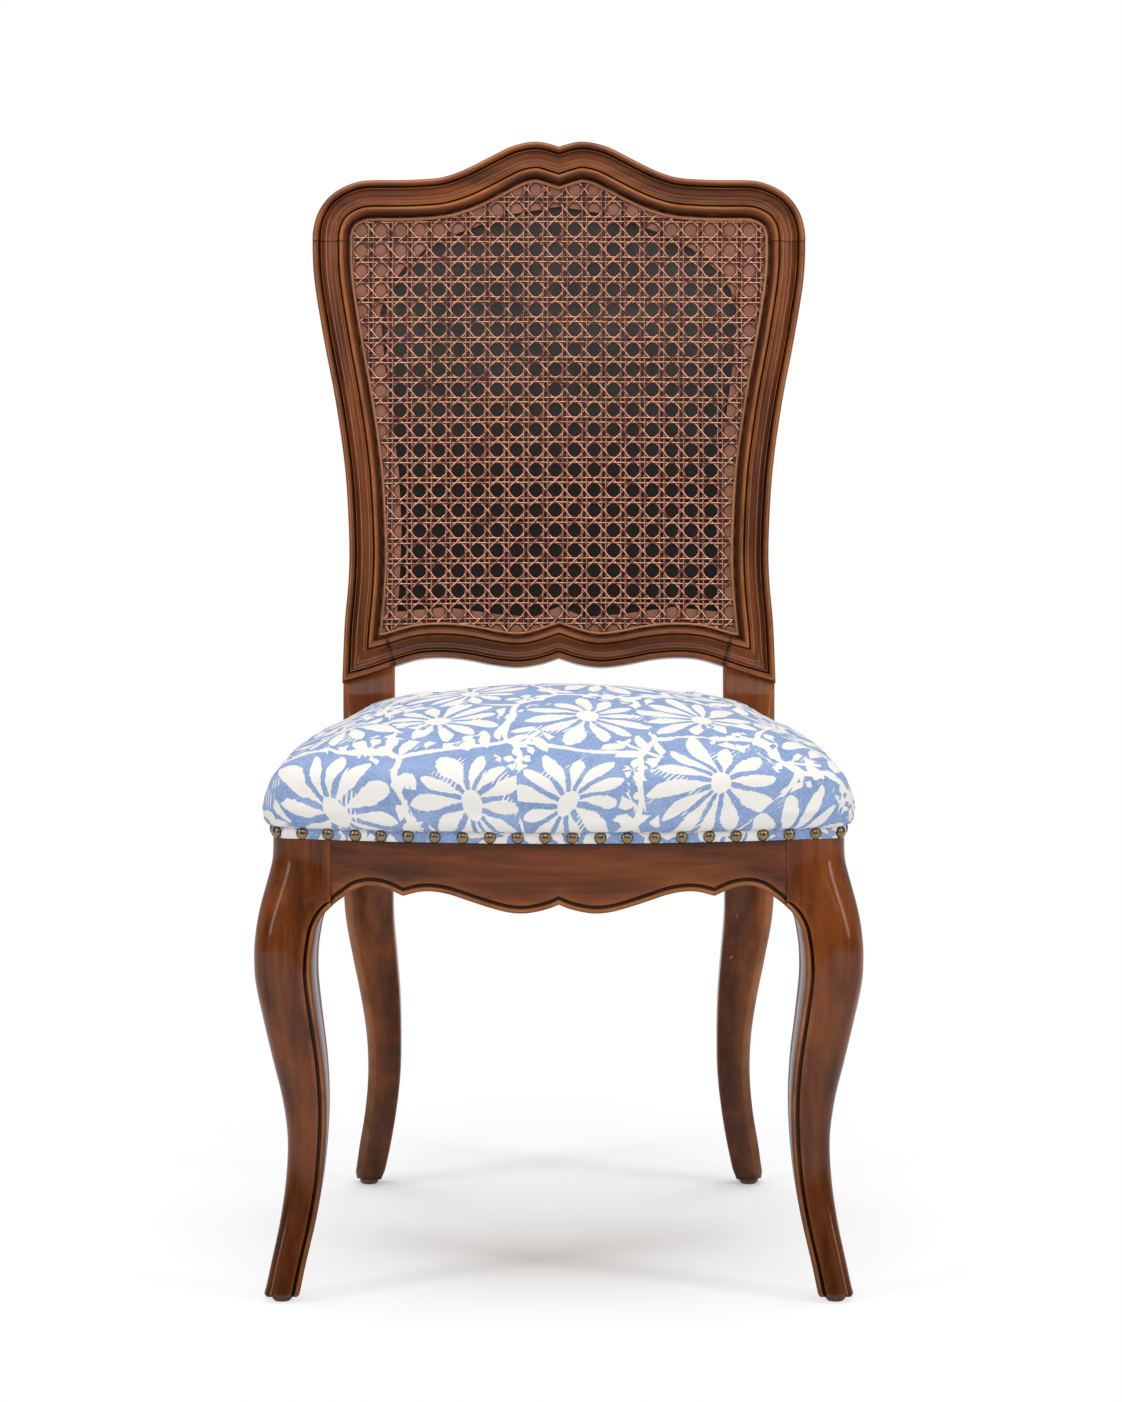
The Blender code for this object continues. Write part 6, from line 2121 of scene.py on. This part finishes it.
@dataclass
class NailTrim:
    """Folded hem of the cover round the rails, with domed nails at even steps."""

    plan: SeatPlan
    lift: float = 0.0003
    band_height: float = 0.0104
    band_thickness: float = 0.0014
    soft: float = 0.0005
    radius: float = 0.0057
    dome: float = 0.0036
    spacing: float = 0.0246
    end_gap: float = 0.002
    cloth_shift: tuple[float, float] = (0.11, -0.2)

    @property
    def bottom(self) -> float:
        """Height of the hem's lower edge."""
        return self.plan.band_bottom + self.lift

    def bands(self) -> dict[str, list[Point]]:
        """Lines that the two hems follow in plan.

        Returns:
            Points of each, under front and rear.
        """
        end, stop = self.plan.post_stop
        half = [p for p in self.plan.outline(0.0, 30, 12, 60) if p[1] < stop]
        half.append((self.plan.side_x(stop), stop))
        front = [(-x, y) for x, y in reversed(half) if x > ON_CENTRE] + half
        return {"front": front, "rear": [(end - 2 * end * i / 24, self.plan.rear_face) for i in range(25)]}

    def band(self, name: str, line: Sequence[Point], material: bpy.types.Material) -> bpy.types.Object:
        """One hem, as a thin folded strip.

        Args:
            name: name of the piece.
            line: its outer face in plan.
            material: its finish.

        Returns:
            The piece.
        """
        low, thick, soft = self.bottom, self.band_thickness, self.soft
        high = low + self.band_height
        section = [
            (thick, low + soft),
            (soft, low),
            (0.0, low + soft),
            (-0.0002, (low + high) / 2),
            (0.0, high - soft),
            (soft, high),
            (thick, high - soft),
        ]
        rings = []
        run = 0.0
        marks: dict[tuple[float, ...], float] = {}
        for i, (x, y) in enumerate(line):
            (ax, ay), (bx, by) = line[max(i - 1, 0)], line[min(i + 1, len(line) - 1)]
            length = math.hypot(bx - ax, by - ay)
            in_x, in_y = -(by - ay) / length, (bx - ax) / length
            run += math.dist((x, y), line[i - 1]) if i else 0.0
            rings.append([self.plan.world(x + in_x * d, y + in_y * d, z) for d, z in section])
            marks.update((tuple(place), run) for place in rings[-1])
        shape = Shape().sweep(rings)
        cloth = shape.bm.loops.layers.uv.new("cloth")
        across, up = self.cloth_shift
        for loop in (loop for face in shape.bm.faces for loop in face.loops):
            loop[cloth].uv = (marks[tuple(loop.vert.co)] + across, loop.vert.co.z * 0.9 + up)
        return shape.finish(name, material, 50.0)

    def places(self, name: str, line: Sequence[Point]) -> list[tuple[Point, Point]]:
        """Where the nails of one hem sit, and which way each points.

        Args:
            name: which hem it is, front or rear.
            line: its outer face in plan.

        Returns:
            Plan place and outward direction of each nail.
        """
        end, stop = (limit - self.radius - self.end_gap for limit in self.plan.post_stop)
        if name == "rear":
            steps = [self.spacing * (n + 0.5) for n in range(int(end / self.spacing + 0.5))]
            return [((side * x, self.plan.rear_face), (0.0, 1.0)) for x in steps for side in (1, -1)]
        half = [p for p in line if p[0] > -ON_CENTRE]
        found = []
        want, gone = self.spacing / 2, 0.0
        for (ax, ay), (bx, by) in zip(half, half[1:]):
            length = math.dist((ax, ay), (bx, by))
            while gone + length >= want:
                share = (want - gone) / length
                x, y = ax + (bx - ax) * share, ay + (by - ay) * share
                if y < stop:
                    dx, dy = (bx - ax) / length, (by - ay) / length
                    found += [((x, y), (dy, -dx)), ((-x, y), (-dy, -dx))]
                want += self.spacing
            gone += length
        return found

    def nail(self) -> Shape:
        """One nail's head, of radius and height one, with a short skirt under it.

        Returns:
            The shape.
        """
        head = Shape()
        bmesh.ops.create_uvsphere(head.bm, u_segments=12, v_segments=8, radius=1.0)
        head.cut_off((0, 0, 0), (0, 0, 1), closed=False)
        lower, rim = grown(head.bm, *open_rim(head.bm))
        bmesh.ops.translate(head.bm, vec=(0, 0, -0.35), verts=lower)
        bmesh.ops.contextual_create(head.bm, geom=rim)
        for vert in head.bm.verts:
            # Patina, with painted shade, round the lower rim of the head.
            vert[head.glaze_and_shade] = 1.0 if vert.co.z < 0.25 else 0.15 * (1 - vert.co.z)
        return head

    def nails(self, name: str, line: Sequence[Point], material: bpy.types.Material) -> bpy.types.Object:
        """All nails of one hem as one piece, each a little askew.

        Args:
            name: which hem it is, front or rear.
            line: its outer face in plan.
            material: their finish.

        Returns:
            The piece.
        """
        shape = Shape()
        height = self.bottom + self.band_height / 2
        for number, ((x, y), (ox, oy)) in enumerate(self.places(name, line)):
            head = self.nail()
            one, other = noise.noise((number * 7.3, 0.5, 0)), noise.noise((0.5, number * 5.1, 0))
            scale = Matrix.Diagonal((self.radius * (1 + 0.05 * one), self.radius, self.dome, 1.0))
            turn = Vector((ox + 0.10 * one, oy, 0.10 * other)).to_track_quat("Z", "Y").to_matrix().to_4x4()
            spot = self.plan.world(x - oy * 0.0010 * one, y, height + 0.0006 * other)
            head.bm.transform(Matrix.Translation(spot) @ turn @ scale)
            shape.absorb(head)
        return shape.finish(f"nails_{name}", material, 60.0)

    def build(self) -> None:
        """Builds and places the hems and the nails."""
        cotton = PrintedCotton("hem_cotton").material()
        brass = CastMetal("antique_brass", "#927d60", "#281e16", 0.17).material()
        for name, line in self.bands().items():
            settle(self.band(f"hem_{name}", line, cotton), "band", f"nail_band_{name}")
            settle(self.nails(name, line, brass), "band", f"nail_band_{name}")


@dataclass
class HiddenWork:
    """What the CAD already shapes right: it keeps its shape and gets its finish, with painted shade on the
    ledge and the lining.
    """

    cane: CanePanel
    # The holes' patches in the ledge's painted shadow lie this far below the holes
    shade_drop: float = 0.0026

    def dress(self, material: bpy.types.Material, names: Iterable[str]) -> None:
        """Gives CAD nodes a material.

        Args:
            material: the finish.
            names: names of the nodes.
        """
        for name in names:
            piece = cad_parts[name]
            if not piece.material_slots:
                piece.data.materials.append(material)
            for slot in piece.material_slots:
                slot.material = material
            log.info("%s: CAD shape in %s", name, material.name)

    def build(self) -> None:
        """Dresses the carried-over nodes."""
        corners = [f"{place}_{side}" for place in ("front", "rear") for side in ("left", "right")]
        dowels = ["crest_dowel_left", "crest_dowel_right"]
        beech = PlainTimber("beech", Grain.ACROSS, "#a98057", "#c49a6c")
        ledge = Ledge(self.cane.cell, (self.cane.origin[0], self.cane.origin[1] - self.shade_drop))
        # The lining's third colour is painted shade, which darkens its lower part.
        lining = MattSheet("dark_lining", "#443e3b", "#544d49", "#1c1411", (0.70, 0.86), 0.75, 25.0)
        ply = PlainTimber("plywood", Grain.DEEP, "#a98456", "#c8a673", layers=0.0015)
        steel = CastMetal("zinc_steel", "#a9a9ad", "#6a6a6e")
        glide = CastMetal("glide_plastic", "#74482e", "#3a2114", 0.38, 0.0)
        for finish, names in (
            (beech, [f"corner_block_{corner}" for corner in corners] + dowels),
            (ledge, [f"ledge_{side}" for side in ("top", "bottom", "left", "right")]),
            (lining, ["back_lining"]),
            (ply, ["seat_board"]),
            (steel, [f"corner_screw_{corner}" for corner in corners]),
            (glide, [f"glide_{corner}" for corner in corners]),
        ):
            self.dress(finish.material(), names)


# Studio


@dataclass
class Studio:
    """White room: a pale floor that keeps the shadow, soft lamps and the camera."""

    lens: float = 159.63
    pitch: float = 7.533
    eye: tuple[float, float, float] = (0.002, -5.7845, 1.2822)
    target: tuple[float, float, float] = (0.0, 0.0, 0.55)
    floor_half: float = 9.0
    floor_glow: float = 0.23
    white_from: tuple[float, float] = (0.17, 0.55)
    shade_depth: float = 0.15
    shade_stretch: float = 0.8
    ambient: float = 0.25
    dim: float = 0.10
    backdrop: float = 0.42
    backdrop_between: tuple[float, float] = (-0.15, 0.45)
    # Name, place, width and height, and power in watts of each lamp
    lamps: tuple[tuple[str, Point, Point, float], ...] = (
        ("left_strip", (-2.4, -1.8, 1.9), (0.6, 2.4), 23.0),
        ("right_strip", (2.5, -1.6, 1.8), (0.55, 2.4), 25.0),
        ("overhead", (0.0, 0.1, 3.1), (3.4, 3.0), 66.0),
        ("front", (0.2, -4.4, 3.3), (4.2, 2.2), 56.0),
    )

    def floor(self) -> None:
        """Lays the floor, which shows white to the camera and in reflections."""
        bm = bmesh.new()
        bmesh.ops.create_grid(bm, x_segments=1, y_segments=1, size=self.floor_half)
        mesh = bpy.data.meshes.new("floor")
        bm.to_mesh(mesh)
        bm.free()
        floor = placed("floor", mesh)
        g = Paint("floor_white")
        mesh.materials.append(g.dress("#f3f5f8", 0.9, Specular_IOR_Level=0.0))
        seen = g.larger(g.larger(g.ray("Camera"), g.ray("Glossy") * self.backdrop), g.ray("Transmission"))
        moved = g.plus(g.place(), (0.0, -self.shade_depth, 0.0))
        far = g.ramp(g.length(g.scaled(moved, (1.0, self.shade_stretch, 1.0))), *self.white_from) * seen
        glow = g.node("Emission", {"Color": "#ffffff", "Strength": seen * self.floor_glow})
        near = g.node("AddShader", {0: Wire(g, g.shader.outputs[0]), 1: glow})
        white = g.node("Emission", {"Color": "#ffffff", "Strength": 1.0})
        both = g.node("MixShader", {0: far, 1: near, 2: white})
        g.feed(g.tree.nodes["Material Output"].inputs["Surface"], both)

    def world(self) -> None:
        """Lights the room evenly, white where the camera or a gloss looks past the floor."""
        world = bpy.data.worlds.new("studio")
        world.use_nodes = True
        g = Graph(world.node_tree)
        seen = g.larger(g.ray("Camera"), g.ray("Transmission"))
        # The white backdrop stands behind the chair, so glossy surfaces that face the camera see less of it
        way = g.axes(g.node("TexCoord", out="Generated"))[1]
        start, end = self.backdrop_between
        gains = {1: start, 2: end, 3: self.dim - self.ambient, 4: self.backdrop - self.ambient}
        behind = g.node("MapRange", {0: way, **gains})
        back = g.tree.nodes["Background"]
        g.feed(back.inputs["Color"], "#ffffff")
        g.feed(back.inputs["Strength"], seen * (1.0 - self.ambient) + self.ambient + g.ray("Glossy") * behind)
        bpy.context.scene.world = world

    def lamp(self, name: str, place: Point, size: Point, power: float) -> None:
        """Hangs one soft lamp, turned to the chair's middle.

        Args:
            name: its name.
            place: where it hangs.
            size: width and height of its face.
            power: its power in watts.
        """
        light = bpy.data.lights.new(name, "AREA")
        light.shape = "RECTANGLE"
        light.size, light.size_y = size
        light.energy = power
        made = placed(name, light)
        made.location = place
        made.rotation_euler = (Vector(self.target) - Vector(place)).to_track_quat("-Z", "Y").to_euler()

    def camera(self) -> None:
        """Sets up the camera at the photograph's viewing angle."""
        data = bpy.data.cameras.new("camera")
        data.lens = self.lens
        data.sensor_width = 36.0
        data.clip_end = 60.0
        made = placed("camera", data)
        made.location = self.eye
        made.rotation_euler = (math.radians(90 - self.pitch), 0.0, 0.0)
        bpy.context.scene.camera = made

    def build(self) -> None:
        """Builds the room."""
        bpy.context.scene.view_settings.view_transform = "Standard"
        self.floor()
        self.world()
        for lamp in self.lamps:
            self.lamp(*lamp)
        self.camera()


def main() -> None:
    """Builds the chair and its room in order."""
    logging.basicConfig(level=logging.INFO, format="%(message)s")
    Studio().build()
    plan = SeatPlan()
    outline = BackOutline(BackPlane(plan))
    cane = CanePanel(outline)
    for part in (
        BackFrame(outline),
        FrontLegs(plan),
        Aprons(plan),
        cane,
        Spline(outline),
        SeatCushion(plan),
        NailTrim(plan),
        HiddenWork(cane),
    ):
        part.build()
        log.info("%s built", type(part).__name__)


if __name__ == "__main__":
    main()
